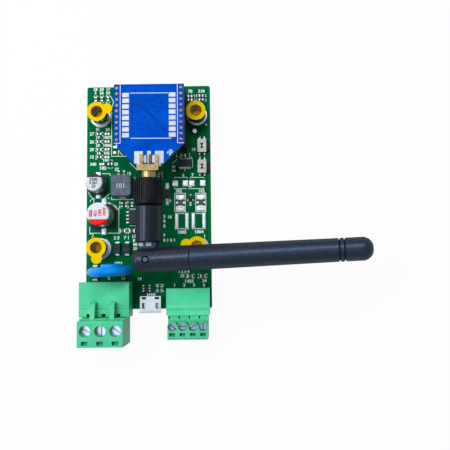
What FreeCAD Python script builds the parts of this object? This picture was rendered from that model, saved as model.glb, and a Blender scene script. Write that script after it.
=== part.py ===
import FreeCAD, Part
import math
import os
import re
import Sketcher

# Radio converter board: an antenna module stands on sockets over a carrier with pluggable connectors.
# Frame: origin at the middle of the carrier's underside, +X right, +Y to the module, +Z component side.

SIZES = {
    # carrier board
    "board_wide": 45.0,
    "board_long": 81.0,
    "board_thick": 1.6,
    "board_round": 0.8,
    "tail_long": 1.5,
    "hole_gap": 0.12,
    "land_thick": 0.05,
    # spacers with their pick-up films
    "spacer_span_x": 35.2,
    "spacer_span_y": 48.2,
    "spacer_shift_x": 0.07,
    "spacer_shift_y": 5.43,
    "spacer_across": 6.6,
    "spacer_bore": 4.2,
    "spacer_tall": 7.0,
    "spacer_foot": 7.3,
    "film_across": 6.9,
    "film_thick": 0.12,
    "film_tab_across": 3.8,
    "film_tab_reach": 3.8,
    # radio board and what holds it
    "module_x": 1.95,
    "module_wide": 24.1,
    "module_thick": 1.6,
    "module_head_y": 37.1,
    "module_waist_y": 16.6,
    "module_foot_y": 8.45,
    "module_foot_wide": 8.15,
    "module_row_gap": 22.0,
    "module_pin_pitch": 2.0,
    "module_pins": 10,
    "module_pin_y": 26.8,
    "pin_side": 0.5,
    "pin_head": 0.5,
    "socket_tall": 10.0,
    "socket_deep": 2.1,
    "socket_slot": 1.3,
    "strip_tall": 2.17,
    "strip_deep": 2.0,
    "pin_reach": 4.0,
    # radio module under the radio board
    "radio_side": 16.0,
    "radio_thick": 0.8,
    "radio_y": 26.3,
    "radio_pads": 8,
    "radio_pad_long": 2.3,
    "radio_pad_wide": 1.5,
    "radio_pad_gap": 13.7,
    "radio_chip_side": 6.0,
    "radio_chip_tall": 0.9,
    # edge connector
    "jack_flange": 7.2,
    "jack_flange_tall": 6.35,
    "jack_flange_deep": 1.9,
    "jack_barrel": 5.0,
    "jack_barrel_long": 8.0,
    "jack_leg": 1.1,
    "jack_leg_long": 4.1,
    "jack_leg_gap": 5.2,
    "jack_pin_radius": 0.5,
    "jack_bore": 3.8,
    "jack_mouth_deep": 2.5,
    # antenna foot
    "nut_across": 10.1,
    "nut_start_y": 4.1,
    "nut_long": 7.05,
    "nut_shoulder": 0.8,
    "nut_ribs": 36,
    "rib_deep": 0.45,
    "rib_gap": 0.38,
    "collar_across": 9.5,
    "collar_long": 2.0,
    "foot_gap": 0.15,
    "foot_across": 8.9,
    "foot_long": 12.35,
    "tongue_wide": 6.1,
    "tongue_nose": 5.4,
    "tongue_thick": 3.4,
    "tongue_groove": 1.0,
    "tongue_ledge": 1.7,
    "pivot_reach": 5.85,
    "tongue_clear": 4.7,
    "turn_gap": 0.05,
    # antenna arm, swivelled up a little about the connector and folded to the side
    "arm_rise_deg": 10.5,
    "arm_lift_deg": 1.95,
    "arm_across": 8.4,
    "arm_tip_across": 7.5,
    "arm_end_reach": 5.45,
    "arm_end_round": 3.0,
    "knuckle_reach": 14.55,
    "joint_wide": 0.28,
    "joint_deep": 0.25,
    "arm_reach": 73.4,
    "cap_long": 9.05,
    "cap_round": 3.4,
    "ring_gap": 1.6,
    "ring_wide": 0.42,
    "ring_deep": 0.42,
    "arm_bore": 5.2,
    "slot_gap": 0.12,
    "hinge_pin": 2.4,
    "hinge_neck": 1.8,
    "radiator_across": 4.6,
    "radiator_long": 26.0,
    "rod_across": 1.4,
    # two round capacitors
    "small_can_across": 6.3,
    "small_can_tall": 7.7,
    "large_can_across": 8.0,
    "large_can_tall": 10.2,
    "can_base_tall": 1.4,
    "can_base_rim": 0.3,
    "can_round": 0.6,
    "can_neck_deep": 0.25,
    "can_lead_wide": 0.8,
    "can_lead_reach": 0.9,
    "can_land_wide": 1.6,
    "small_can_land": 1.35,
    "large_can_land": 2.25,
    # inductor
    "coil_wide": 7.3,
    "coil_long": 7.8,
    "coil_tall": 4.4,
    "coil_round": 1.3,
    # disc varistor
    "disc_across": 15.4,
    "disc_thick": 3.1,
    "disc_bulge_across": 7.2,
    "disc_bulge": 0.95,
    "disc_lift": 2.1,
    "disc_x": -12.0,
    "disc_y": -27.0,
    "disc_lean_deg": 3.0,
    "disc_turn_deg": 2.2,
    "disc_lead_gap": 7.5,
    "disc_lead": 0.8,
    "disc_shoulder": 1.9,
    # side push switches
    "switch_wide": 3.15,
    "switch_long": 4.7,
    "switch_tall": 1.65,
    "switch_in": 3.05,
    "switch_a_y": 18.05,
    "switch_b_y": 10.45,
    "button_wide": 3.4,
    "button_tall": 0.9,
    "button_out": 1.1,
    "button_travel": 0.25,
    "button_gap": 0.06,
    "plate_thick": 0.15,
    # micro USB socket
    "usb_x": 0.85,
    "usb_wide": 7.4,
    "usb_deep": 5.9,
    "usb_tall": 2.5,
    "usb_sheet": 0.3,
    "usb_overhang": 1.3,
    "usb_flare": 0.2,
    # power connector
    "power_x": -14.35,
    "power_pitch": 5.08,
    "power_poles": 3,
    "power_header_wide": 17.24,
    "power_header_deep": 12.0,
    "power_header_tall": 8.57,
    "power_wall": 1.1,
    "power_overhang": 2.2,
    "power_pin": 1.0,
    "power_pin_level": 4.3,
    "power_plug_deep": 9.5,
    "power_plug_tall": 15.0,
    "power_nose": 8.2,
    "power_screw_back": 4.2,
    "power_screw_across": 3.8,
    "power_cage": 4.2,
    "power_entry": 3.0,
    # signal connector
    "signal_x": 14.4,
    "signal_pitch": 3.5,
    "signal_poles": 4,
    "signal_header_wide": 14.9,
    "signal_header_deep": 9.3,
    "signal_header_tall": 7.25,
    "signal_wall": 0.8,
    "signal_overhang": 2.0,
    "signal_pin": 0.8,
    "signal_pin_level": 3.4,
    "signal_plug_deep": 8.0,
    "signal_plug_tall": 9.4,
    "signal_nose": 6.4,
    "signal_screw_back": 3.7,
    "signal_screw_across": 2.75,
    "signal_cage": 2.9,
    "signal_entry": 2.2,
    # inside both connectors
    "probe_deep": 1.3,
    "plug_gap": 0.1,
    "cage_gap": 0.05,
    "contact_wall": 0.45,
    # leads of chips
    "lead_thick": 0.2,
}

doc = FreeCAD.newDocument("lora_converter")
sheet = doc.addObject("Spreadsheet::Sheet", "dims")
for row, (alias, amount) in enumerate(SIZES.items(), start=1):
    sheet.set(f"A{row}", alias)
    sheet.set(f"B{row}", str(amount))
    sheet.setAlias(f"B{row}", alias)
doc.recompute()

# places that several pieces share, as formulas of the sizes
LEFT = "(-board_wide / 2)"
RIGHT = "(board_wide / 2)"
HEAD = "(board_long / 2)"
FOOT = "(-board_long / 2)"
TOP = "board_thick"
STRIP_Z = f"({TOP} + socket_tall)"
MODULE_Z = f"({STRIP_Z} + strip_tall)"
MODULE_TOP = f"({MODULE_Z} + module_thick)"
AXIS_Z = f"({MODULE_TOP} + land_thick + jack_pin_radius)"
NUT_END_Y = "(nut_start_y - nut_long)"
COLLAR_END_Y = f"({NUT_END_Y} - collar_long)"
FOOT_END_Y = f"({COLLAR_END_Y} - foot_gap - foot_long)"
PIVOT_Y = f"({FOOT_END_Y} - pivot_reach)"
# the two round capacitors: middle, and on which side in Y the corners of the base are cut
CANS = {"small": (f"({LEFT} + 4.15)", "4.2", -1), "large": (f"({LEFT} + 6.3)", "-7.2", 1)}

pieces = []


def bound(formula):
    # the same formula with each size named as a cell of the sheet
    def named(word):
        return f"dims.{word[0]}" if word[0] in SIZES else word[0]

    return re.sub(r"[a-z][a-z0-9_]*", named, str(formula))


def number(formula):
    return float(sheet.evalExpression(bound(formula)))


def count(alias):
    return int(round(number(alias)))


def drive(thing, path, formula):
    thing.setExpression(path, bound(formula))


def seat(thing, x="0", y="0", z="0"):
    for side, formula in (("x", x), ("y", y), ("z", z)):
        drive(thing, f"Placement.Base.{side}", formula)


def keep(thing, label):
    # this object is a piece of its own, with its own file
    thing.Label = label
    pieces.append(thing)
    return thing


# primitives, stated by their middle in X and Y and their foot in Z
def block(name, size, place):
    box = doc.addObject("Part::Box", name)
    for side, length in zip(("Length", "Width", "Height"), size):
        drive(box, side, length)
    seat(box, f"{place[0]} - ({size[0]}) / 2", f"{place[1]} - ({size[1]}) / 2", place[2])
    return box


def rod(name, across, long, place, along="Z"):
    turns = {"Z": (0, 0, 0), "+X": (0, 90, 0), "-Y": (0, 0, 90), "+Y": (0, 0, -90)}
    cylinder = doc.addObject("Part::Cylinder", name)
    cylinder.Placement = FreeCAD.Placement(FreeCAD.Vector(), FreeCAD.Rotation(*turns[along]))
    drive(cylinder, "Radius", f"({across}) / 2")
    drive(cylinder, "Height", long)
    seat(cylinder, *place)
    return cylinder


def group(name, things):
    one = doc.addObject("Part::Compound", name)
    one.Links = things
    return one


def fused(name, things):
    one = doc.addObject("Part::MultiFuse", name)
    one.Shapes = things
    return one


def less(name, base, tool):
    one = doc.addObject("Part::Cut", name)
    one.Base = base
    one.Tool = tool
    return one


# sketch based features
def origin(body, role):
    return [item for item in body.Origin.OriginFeatures if item.Role == role][0]


def newSketch(body, name, plane, offset="0"):
    sketch = body.newObject("Sketcher::SketchObject", name)
    sketch.AttachmentSupport = (origin(body, plane), [""])
    sketch.MapMode = "FlatFace"
    if offset != "0":
        drive(sketch, "AttachmentOffset.Base.z", offset)
    return sketch


def dimension(sketch, kind, line, point, formula):
    # distance of a point from the sketch's origin
    place = sketch.addConstraint(Sketcher.Constraint(kind, -1, 1, line, point, number(formula)))
    drive(sketch, f"Constraints[{place}]", formula)


def outline(sketch, corners):
    first = sketch.GeometryCount
    spots = [FreeCAD.Vector(number(x), number(y), 0) for x, y in corners]
    total = len(spots)
    for step in range(total):
        sketch.addGeometry(Part.LineSegment(spots[step], spots[(step + 1) % total]), False)
    for step, (x, y) in enumerate(corners):
        line = first + step
        sketch.addConstraint(Sketcher.Constraint("Coincident", line, 2, first + (step + 1) % total, 1))
        dimension(sketch, "DistanceX", line, 1, x)
        dimension(sketch, "DistanceY", line, 1, y)
    return sketch


def rectangle(sketch, x, y, wide, tall):
    left, right = f"{x} - ({wide}) / 2", f"{x} + ({wide}) / 2"
    low, high = f"{y} - ({tall}) / 2", f"{y} + ({tall}) / 2"
    return outline(sketch, [(left, low), (right, low), (right, high), (left, high)])


def circle(sketch, x, y, across):
    ring = sketch.addGeometry(
        Part.Circle(FreeCAD.Vector(number(x), number(y), 0), FreeCAD.Vector(0, 0, 1), number(across) / 2), False
    )
    dimension(sketch, "DistanceX", ring, 3, x)
    dimension(sketch, "DistanceY", ring, 3, y)
    place = sketch.addConstraint(Sketcher.Constraint("Radius", ring, number(across) / 2))
    drive(sketch, f"Constraints[{place}]", f"({across}) / 2")
    return sketch


def pad(body, sketch, length, middle=False, reverse=False):
    feature = body.newObject("PartDesign::Pad", f"{sketch.Name}_pad")
    feature.Profile = sketch
    feature.Midplane = middle
    feature.Reversed = reverse
    drive(feature, "Length", length)
    return feature


def pocket(body, sketch, length, middle=False, reverse=False):
    feature = body.newObject("PartDesign::Pocket", f"{sketch.Name}_cut")
    feature.Profile = sketch
    feature.Midplane = middle
    feature.Reversed = reverse
    drive(feature, "Length", length)
    return feature


def revolve(body, sketch, axis="V_Axis"):
    feature = body.newObject("PartDesign::Revolution", f"{sketch.Name}_turn")
    feature.Profile = sketch
    feature.ReferenceAxis = (sketch, [axis])
    feature.Angle = 360
    return feature


def row(body, name, features, copies, pitch, axis="X_Axis"):
    feature = body.newObject("PartDesign::LinearPattern", name)
    feature.Originals = features
    feature.Direction = (origin(body, axis), [""])
    drive(feature, "Length", f"({copies} - 1) * {pitch}")
    drive(feature, "Occurrences", copies)
    body.Tip = feature
    return feature


def edgeNames(body, wanted):
    # edges of the body's present shape that pass a test on their two ends and middle
    doc.recompute()
    return [f"Edge{step}" for step, edge in enumerate(body.Tip.Shape.Edges, start=1) if wanted(edge)]


def soften(body, name, kind, edges, size):
    base = body.Tip
    feature = body.newObject(f"PartDesign::{kind}", name)
    feature.Base = (base, edges)
    drive(feature, "Radius" if kind == "Fillet" else "Size", size)
    body.Tip = feature
    return feature


def close(one, two):
    return abs(one - two) < 0.001


def ridge(body, y, z):
    # straight edges that run along X at this height and depth
    places = number(y), number(z)
    return edgeNames(
        body,
        lambda edge: close(edge.BoundBox.YLength, 0)
        and close(edge.BoundBox.ZLength, 0)
        and close(edge.BoundBox.YMin, places[0])
        and close(edge.BoundBox.ZMin, places[1]),
    )


def circleAt(edge, x=None, y=None, z=None, radius=None):
    if not isinstance(edge.Curve, Part.Circle):
        return False
    middle = edge.Curve.Center
    wanted = ((x, middle.x), (y, middle.y), (z, middle.z), (radius, edge.Curve.Radius))
    return all(value is None or close(number(value), real) for value, real in wanted)


def newBody(name):
    body = doc.addObject("PartDesign::Body", name)
    body.AllowCompound = True
    return body


# the corners of the spacer pattern, and the pins of the radio board, as formulas
SPACER_SPOTS = [
    (f"spacer_shift_x + {across} * spacer_span_x / 2", f"spacer_shift_y + {up} * spacer_span_y / 2")
    for across, up in ((-1, 1), (1, 1), (-1, -1), (1, -1))
]
ROW_X = ("(module_x - module_row_gap / 2)", "(module_x + module_row_gap / 2)")
FIRST_PIN_Y = "(module_pin_y - (module_pins - 1) * module_pin_pitch / 2)"
POWER_FACE_Y = f"({FOOT} - power_overhang)"


def poleX(side, place):
    return f"({side}_x + ({place} - ({side}_poles - 1) / 2) * {side}_pitch)"


# rows of solder tails of the headers: how far behind the mouth of each header they go down
def tailY(side):
    return f"({FOOT} - {side}_overhang + {side}_header_deep - 1.5 * {side}_pin)"


def carrierBoard():
    body = newBody("carrier_board")
    plan = rectangle(newSketch(body, "board_outline", "XY_Plane"), "0", "0", "board_wide", "board_long")
    pad(body, plan, "board_thick")
    corners = edgeNames(body, lambda edge: close(edge.BoundBox.ZLength, number("board_thick")))
    soften(body, "board_corners", "Fillet", corners, "board_round")
    holes = newSketch(body, "board_spacer_holes", "XY_Plane")
    for x, y in SPACER_SPOTS:
        circle(holes, x, y, "spacer_bore")
    pocket(body, holes, "3 * board_thick", middle=True)
    pins = newSketch(body, "board_socket_hole", "XY_Plane")
    for x in ROW_X:
        rectangle(pins, x, FIRST_PIN_Y, "pin_side + 2 * hole_gap", "pin_side + 2 * hole_gap")
    hole = pocket(body, pins, "3 * board_thick", middle=True)
    row(body, "board_socket_holes", [hole], "module_pins", "module_pin_pitch", "Y_Axis")
    tails = newSketch(body, "board_tail_holes", "XY_Plane")
    for side in ("power", "signal"):
        for place in range(count(f"{side}_poles")):
            circle(tails, poleX(side, place), tailY(side), f"1.42 * {side}_pin + 2 * hole_gap")
    for spot in (-1, 1):
        circle(tails, f"disc_x + {spot} * disc_lead_gap / 2", "disc_y", "disc_lead + 2 * hole_gap")
    pocket(body, tails, "3 * board_thick", middle=True)
    keep(body, "carrier_board")


def boardLands():
    lands = []

    def land(x, y, wide, long):
        lands.append(block(f"land_{len(lands)}", (wide, long, "land_thick"), (x, y, TOP)))

    # four square lands of the links
    for x in (-12.85, -9.2, -6.85, -2.9):
        land(f"{RIGHT} {x:+}", f"{FOOT} + 45.05", "1.9", "2.1")
    # two fuse places: a wide land at each end and a small one on either side of the chip between them
    for x in (-11.02, -3.6):
        land(f"{RIGHT} {x:+}", f"{FOOT} + 40.03", "3.4", "1.66")
        land(f"{RIGHT} {x:+}", f"{FOOT} + 35.86", "3.4", "1.9")
        for side in (-1, 1):
            land(f"{RIGHT} {x:+} + {side} * 1.25", f"{FOOT} + 38.0", "0.7", "0.85")
    # two bare fuse places
    for x in (-12.4, -8.7, -6.4, -2.55):
        land(f"{RIGHT} {x:+}", f"{FOOT} + 31.3", "1.15", "6.0")
    # lands above and below the line diode, and two beside the lamps
    for y in (3.62, -2.22):
        land(f"{RIGHT} - 15.75", y, "1.1", "2.2")
    for y in (18.2, 16.15):
        land(f"{LEFT} + 10.1", y, "1.0", "0.8")
    for size, (x, y, _) in CANS.items():
        reach = f"{size}_can_land"
        for side in (-1, 1):
            edge = f"(({size}_can_across + {reach}) / 2 + can_base_rim)"
            land(x, f"{y} + {side} * {edge}", "can_land_wide", reach)
    for step, (x, y) in enumerate(SPACER_SPOTS):
        ring = less(
            f"spacer_land_{step}",
            rod(f"spacer_land_disc_{step}", "spacer_foot", "land_thick", (x, y, TOP)),
            rod(f"spacer_land_hole_{step}", "spacer_across", "land_thick", (x, y, TOP)),
        )
        lands.append(ring)
    keep(group("board_lands_group", lands), "board_lands")


def spacers():
    posts, films = [], []
    # the clear film closes the bore for pick-up; each tab points its own way, one is folded down
    tabs = ((0.96, 0.28), None, (0.05, -1.0), (-0.98, 0.21))
    for step, (x, y) in enumerate(SPACER_SPOTS):
        post = less(
            f"spacer_{step}",
            rod(f"spacer_body_{step}", "spacer_across", "spacer_tall", (x, y, TOP)),
            rod(f"spacer_hole_{step}", "spacer_bore", "spacer_tall", (x, y, TOP)),
        )
        posts.append(post)
        film_z = f"{TOP} + spacer_tall"
        if tabs[step]:
            east, north = tabs[step]
            spot = (f"{x} + {east} * film_tab_reach", f"{y} + {north} * film_tab_reach", film_z)
            tab = rod(f"film_tab_{step}", "film_tab_across", "film_thick", spot)
        else:
            spot = (f"{x} - spacer_across / 2 - film_thick / 2 - 0.01", y, f"{film_z} - film_tab_across")
            size = ("film_thick", "film_tab_across * 0.7", "film_tab_across + film_thick")
            tab = block(f"film_tab_{step}", size, spot)
        disc = rod(f"film_disc_{step}", "film_across", "film_thick", (x, y, film_z))
        films.append(fused(f"film_{step}", [disc, tab]))
    keep(group("spacers_group", posts), "spacers")
    keep(group("spacer_films_group", films), "spacer_films")


def radioBoard():
    body = newBody("module_board")
    half, foot = "module_wide / 2", "module_foot_wide / 2"
    shape = outline(
        newSketch(body, "module_outline", "XY_Plane"),
        [
            (f"module_x - {half}", "module_head_y"),
            (f"module_x - {half}", "module_waist_y"),
            (f"module_x - {foot}", "module_foot_y"),
            (f"module_x + {foot}", "module_foot_y"),
            (f"module_x + {half}", "module_waist_y"),
            (f"module_x + {half}", "module_head_y"),
        ],
    )
    pad(body, shape, "module_thick")
    pins = newSketch(body, "module_pin_hole", "XY_Plane")
    for x in ROW_X:
        rectangle(pins, x, FIRST_PIN_Y, "pin_side + hole_gap / 4", "pin_side + hole_gap / 4")
    hole = pocket(body, pins, "3 * module_thick", middle=True)
    row(body, "module_pin_holes", [hole], "module_pins", "module_pin_pitch", "Y_Axis")
    seat(body, z=MODULE_Z)
    keep(body, "module_board")

    lands = []
    for side in (-1, 1):
        for step in range(count("radio_pads")):
            x = f"module_x + {side} * (radio_pad_gap + radio_pad_long) / 2"
            y = f"radio_y + ({step} - (radio_pads - 1) / 2) * module_pin_pitch"
            size = ("radio_pad_long", "radio_pad_wide", "land_thick")
            lands.append(block(f"radio_land_{len(lands)}", size, (x, y, MODULE_TOP)))
    # lands under the edge connector: shift from its axis, start and end from the board's edge, wide
    for shift, start, end, wide in (
        (0, 1.15, 5.3, 1.3),
        (-1.45, 1.25, 3.8, 1.0),
        (1.55, 1.25, 3.8, 0.9),
        (-3.55, 1.05, 5.25, 2.9),
        (3.55, 1.05, 5.25, 2.9),
        (-3.05, 0.05, 1.05, 1.9),
        (3.05, 0.05, 1.05, 1.9),
    ):
        spot = (f"module_x {shift:+}", f"module_foot_y + {(start + end) / 2:.3f}", MODULE_TOP)
        lands.append(block(f"jack_land_{len(lands)}", (str(wide), f"{end - start:.2f}", "land_thick"), spot))
    keep(group("module_lands_group", lands), "module_lands")

    strips, sockets, pins, contacts = [], [], [], []
    long = "(module_pins * module_pin_pitch)"
    pin_foot = f"({STRIP_Z} - pin_reach)"
    for side, x in enumerate(ROW_X):
        spots = [f"({FIRST_PIN_Y} + {step} * module_pin_pitch)" for step in range(count("module_pins"))]
        pin_size = ("pin_side", "pin_side", f"{MODULE_TOP} + pin_head - {pin_foot}")
        side_pins = [block(f"pin_{side}_{step}", pin_size, (x, y, pin_foot)) for step, y in enumerate(spots)]
        pins += side_pins
        strips.append(
            less(
                f"strip_{side}",
                block(f"strip_body_{side}", ("strip_deep", long, "strip_tall"), (x, "module_pin_y", STRIP_Z)),
                group(f"strip_pins_{side}", side_pins),
            )
        )
        slots = [
            block(f"socket_slot_{side}_{step}", ("socket_slot", "socket_slot", "socket_tall"), (x, y, TOP))
            for step, y in enumerate(spots)
        ]
        socket_size = ("socket_deep", f"{long} + 0.2", "socket_tall")
        sockets.append(
            less(
                f"socket_{side}",
                block(f"socket_body_{side}", socket_size, (x, "module_pin_y", TOP)),
                group(f"socket_slots_{side}", slots),
            )
        )
        # a contact is a solder tail with two spring leaves that hold the pin
        leaf = "(socket_slot - pin_side) / 2"
        stem_tall = "(board_thick + tail_long + socket_tall - pin_reach - pin_side)"
        for step, y in enumerate(spots):
            parts = [
                block(f"tail_{side}_{step}", ("pin_side", "pin_side", stem_tall), (x, y, "-tail_long")),
                block(
                    f"leaf_foot_{side}_{step}",
                    ("pin_side", "socket_slot", "pin_side / 2"),
                    (x, y, f"-tail_long + {stem_tall}"),
                ),
            ]
            for way in (-1, 1):
                leaf_y = f"{y} + {way} * (pin_side + {leaf} + hole_gap / 4) / 2"
                parts.append(
                    block(
                        f"leaf_{side}_{step}_{way + 1}",
                        ("pin_side", f"{leaf} - hole_gap / 4", "pin_reach"),
                        (x, leaf_y, f"-tail_long + {stem_tall} + pin_side / 2"),
                    )
                )
            contacts.append(fused(f"contact_{side}_{step}", parts))
    keep(group("module_pins_group", pins), "module_pins")
    keep(group("header_strips_group", strips), "header_strips")
    keep(group("module_sockets_group", sockets), "module_sockets")
    keep(group("socket_contacts_group", contacts), "socket_contacts")

    # the radio itself hangs under its board
    radio_z = f"({MODULE_Z} - radio_thick)"
    parts = (
        ("radio_board", ("radio_side", "radio_side", "radio_thick"), "0", "0", radio_z),
        ("radio_chip", ("radio_chip_side",) * 2 + ("radio_chip_tall",), "-2", "-2", f"{radio_z} - radio_chip_tall"),
        ("radio_crystal", ("3.2", "2.5", "0.8"), "+4", "-3.5", f"{radio_z} - 0.8"),
    )
    for label, size, across, up, z in parts:
        keep(block(f"{label}_box", size, (f"module_x + {across}", f"radio_y + {up}", z)), label)


def edgeConnector():
    middle_y = "(module_foot_y - jack_flange_deep / 2)"
    flange = block(
        "jack_flange_block",
        ("jack_flange", "jack_flange_deep", "jack_flange_tall"),
        ("module_x", middle_y, f"{AXIS_Z} - jack_flange_tall / 2"),
    )
    parts = [flange]
    barrel_spot = ("module_x", "module_foot_y - jack_flange_deep", AXIS_Z)
    parts.append(rod("jack_barrel_rod", "jack_barrel", "jack_barrel_long", barrel_spot, "-Y"))
    for side in (-1, 1):
        x = f"module_x + {side} * jack_leg_gap / 2"
        y = "module_foot_y + jack_leg_long / 2"
        for level, z in (("top", f"{MODULE_TOP} + land_thick"), ("low", f"{MODULE_Z} - jack_leg")):
            parts.append(block(f"jack_{level}_leg_{side + 1}", ("jack_leg", "jack_leg_long", "jack_leg"), (x, y, z)))
    bore = rod(
        "jack_bore_rod",
        "jack_bore",
        "jack_flange_deep + jack_barrel_long",
        ("module_x", "module_foot_y", AXIS_Z),
        "-Y",
    )
    keep(less("jack_body_cut", fused("jack_body_fuse", parts), bore), "jack_body")

    pin_across = "2 * jack_pin_radius"
    pin_long = "(jack_leg_long + jack_flange_deep + jack_barrel_long - 1)"
    pin_y = "module_foot_y + jack_leg_long"
    insulator_long = "(jack_flange_deep + jack_barrel_long - jack_mouth_deep)"
    insulator = less(
        "jack_insulator_cut",
        rod("jack_insulator_rod", "jack_bore", insulator_long, ("module_x", "module_foot_y", AXIS_Z), "-Y"),
        rod("jack_insulator_bore", pin_across, pin_long, ("module_x", pin_y, AXIS_Z), "-Y"),
    )
    keep(insulator, "jack_insulator")
    keep(rod("jack_pin_rod", pin_across, pin_long, ("module_x", pin_y, AXIS_Z), "-Y"), "jack_pin")


# the antenna is turned about the connector's axis: sketches hold radius on X and length on Y
def turned(name, corners, swings=False):
    body = newBody(name)
    revolve(body, outline(newSketch(body, f"{name}_profile", "XY_Plane"), corners))
    if swings:
        body.Placement = FreeCAD.Placement(FreeCAD.Vector(), swivel())
    seat(body, "module_x", "0", AXIS_Z)
    return body


# how far the antenna is turned about the connector's axis
def swivel():
    return FreeCAD.Rotation(FreeCAD.Vector(0, 1, 0), -number("arm_rise_deg"))


def couplingNut():
    start, end = "nut_start_y", NUT_END_Y
    nut_bore = "(jack_barrel / 2 + turn_gap)"
    body = turned(
        "coupling_nut",
        [
            (nut_bore, start),
            ("nut_across / 2 - nut_shoulder", start),
            ("nut_across / 2", f"{start} - nut_shoulder"),
            ("nut_across / 2", end),
            ("collar_across / 2", f"{end} - 0.2"),
            ("collar_across / 2", f"{end} - collar_long + 0.5"),
            ("collar_across / 2 - 0.5", f"{end} - collar_long"),
            (nut_bore, f"{end} - collar_long"),
        ],
    )
    # straight knurl: one groove repeated round the nut
    groove = newSketch(body, "rib_groove", "XZ_Plane", f"-({start})")
    rim = "nut_across / 2"
    outline(
        groove,
        [
            ("-0.8 * rib_gap", f"{rim} + 0.2"),
            ("-rib_gap / 2", f"{rim} - rib_deep"),
            ("rib_gap / 2", f"{rim} - rib_deep"),
            ("0.8 * rib_gap", f"{rim} + 0.2"),
        ],
    )
    cut = pocket(body, groove, "nut_long", reverse=True)
    pattern = body.newObject("PartDesign::PolarPattern", "nut_ribs_round")
    pattern.Originals = [cut]
    pattern.Axis = (origin(body, "Y_Axis"), [""])
    pattern.Angle = 360
    drive(pattern, "Occurrences", "nut_ribs")
    body.Tip = pattern
    keep(body, "coupling_nut")


def antennaFoot():
    end, half = FOOT_END_Y, "foot_across / 2"
    start = f"({COLLAR_END_Y} - foot_gap)"
    # a stem inside the nut reaches the connector's rim, and the barrel starts below the nut's collar
    stem, stem_y = "jack_barrel / 2", "(module_foot_y - jack_flange_deep - jack_barrel_long - 0.15)"
    body = turned(
        "antenna_foot",
        [
            ("0", stem_y),
            (stem, stem_y),
            (stem, start),
            (f"{half} - 0.4", start),
            (half, f"{start} - 0.4"),
            (half, f"{end} + 0.3"),
            (f"{half} - 0.3", end),
            ("0", end),
        ],
        swings=True,
    )
    nose, gap = "tongue_nose / 2", "(pivot_reach - tongue_clear)"
    tongue = newSketch(body, "tongue_outline", "XY_Plane")
    outline(
        tongue,
        [
            ("-tongue_wide / 2", f"{end} + 1"),
            ("-tongue_wide / 2", f"{end} - {gap}"),
            (f"-{nose}", f"{end} - {gap}"),
            (f"-{nose}", PIVOT_Y),
            (nose, PIVOT_Y),
            (nose, f"{end} - {gap}"),
            ("tongue_wide / 2", f"{end} - {gap}"),
            ("tongue_wide / 2", f"{end} + 1"),
        ],
    )
    pad(body, tongue, "tongue_thick", middle=True)
    round_end = circle(newSketch(body, "tongue_round", "XY_Plane"), "0", PIVOT_Y, "tongue_nose")
    pad(body, round_end, "tongue_thick", middle=True)
    grooves = newSketch(body, "tongue_grooves", "XZ_Plane", f"-({end})")
    # on each face a groove left of the middle and a lower ledge along one side
    for face in (-1, 1):
        rim = f"{face} * tongue_thick / 2"
        rectangle(grooves, f"-{face} * 0.95", rim, "tongue_groove", "1.8")
        rectangle(grooves, f"{face} * (tongue_wide / 2 - tongue_ledge / 2 + 0.1)", rim, "tongue_ledge + 0.2", "2.0")
    pocket(body, grooves, f"{gap} - 0.02")
    hole = circle(newSketch(body, "tongue_hole", "XY_Plane"), "0", PIVOT_Y, "hinge_pin + 2 * turn_gap")
    pocket(body, hole, "2 * tongue_thick", middle=True)
    keep(body, "antenna_foot")
    # spring sleeve of the foot that slips over the connector's pin
    top = "(module_foot_y - jack_flange_deep - jack_barrel_long + jack_mouth_deep - 0.1)"
    contact = turned(
        "antenna_contact",
        [
            ("jack_pin_radius + turn_gap", top),
            ("jack_pin_radius + 0.4", top),
            ("jack_pin_radius + 0.4", stem_y),
            ("jack_pin_radius + turn_gap", stem_y),
        ],
        swings=True,
    )
    keep(contact, "antenna_contact")


# arm: modelled along +X from the hinge, then turned to where it lies
def armPart(name, corners):
    body = newBody(name)
    revolve(body, outline(newSketch(body, f"{name}_profile", "XY_Plane"), corners), "H_Axis")
    return body


def placeArm(body):
    lift = FreeCAD.Rotation(FreeCAD.Vector(0, 0, 1), number("arm_lift_deg"))
    body.Placement = FreeCAD.Placement(FreeCAD.Vector(), swivel().multiply(lift))
    seat(body, "module_x", PIVOT_Y, AXIS_Z)
    return body


def armAcross(reach):
    # the arm narrows evenly from the knuckle to the cap
    share = f"(({reach} - knuckle_reach) / (arm_reach - cap_long - knuckle_reach))"
    return f"(arm_across + (arm_tip_across - arm_across) * {share})"


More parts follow.
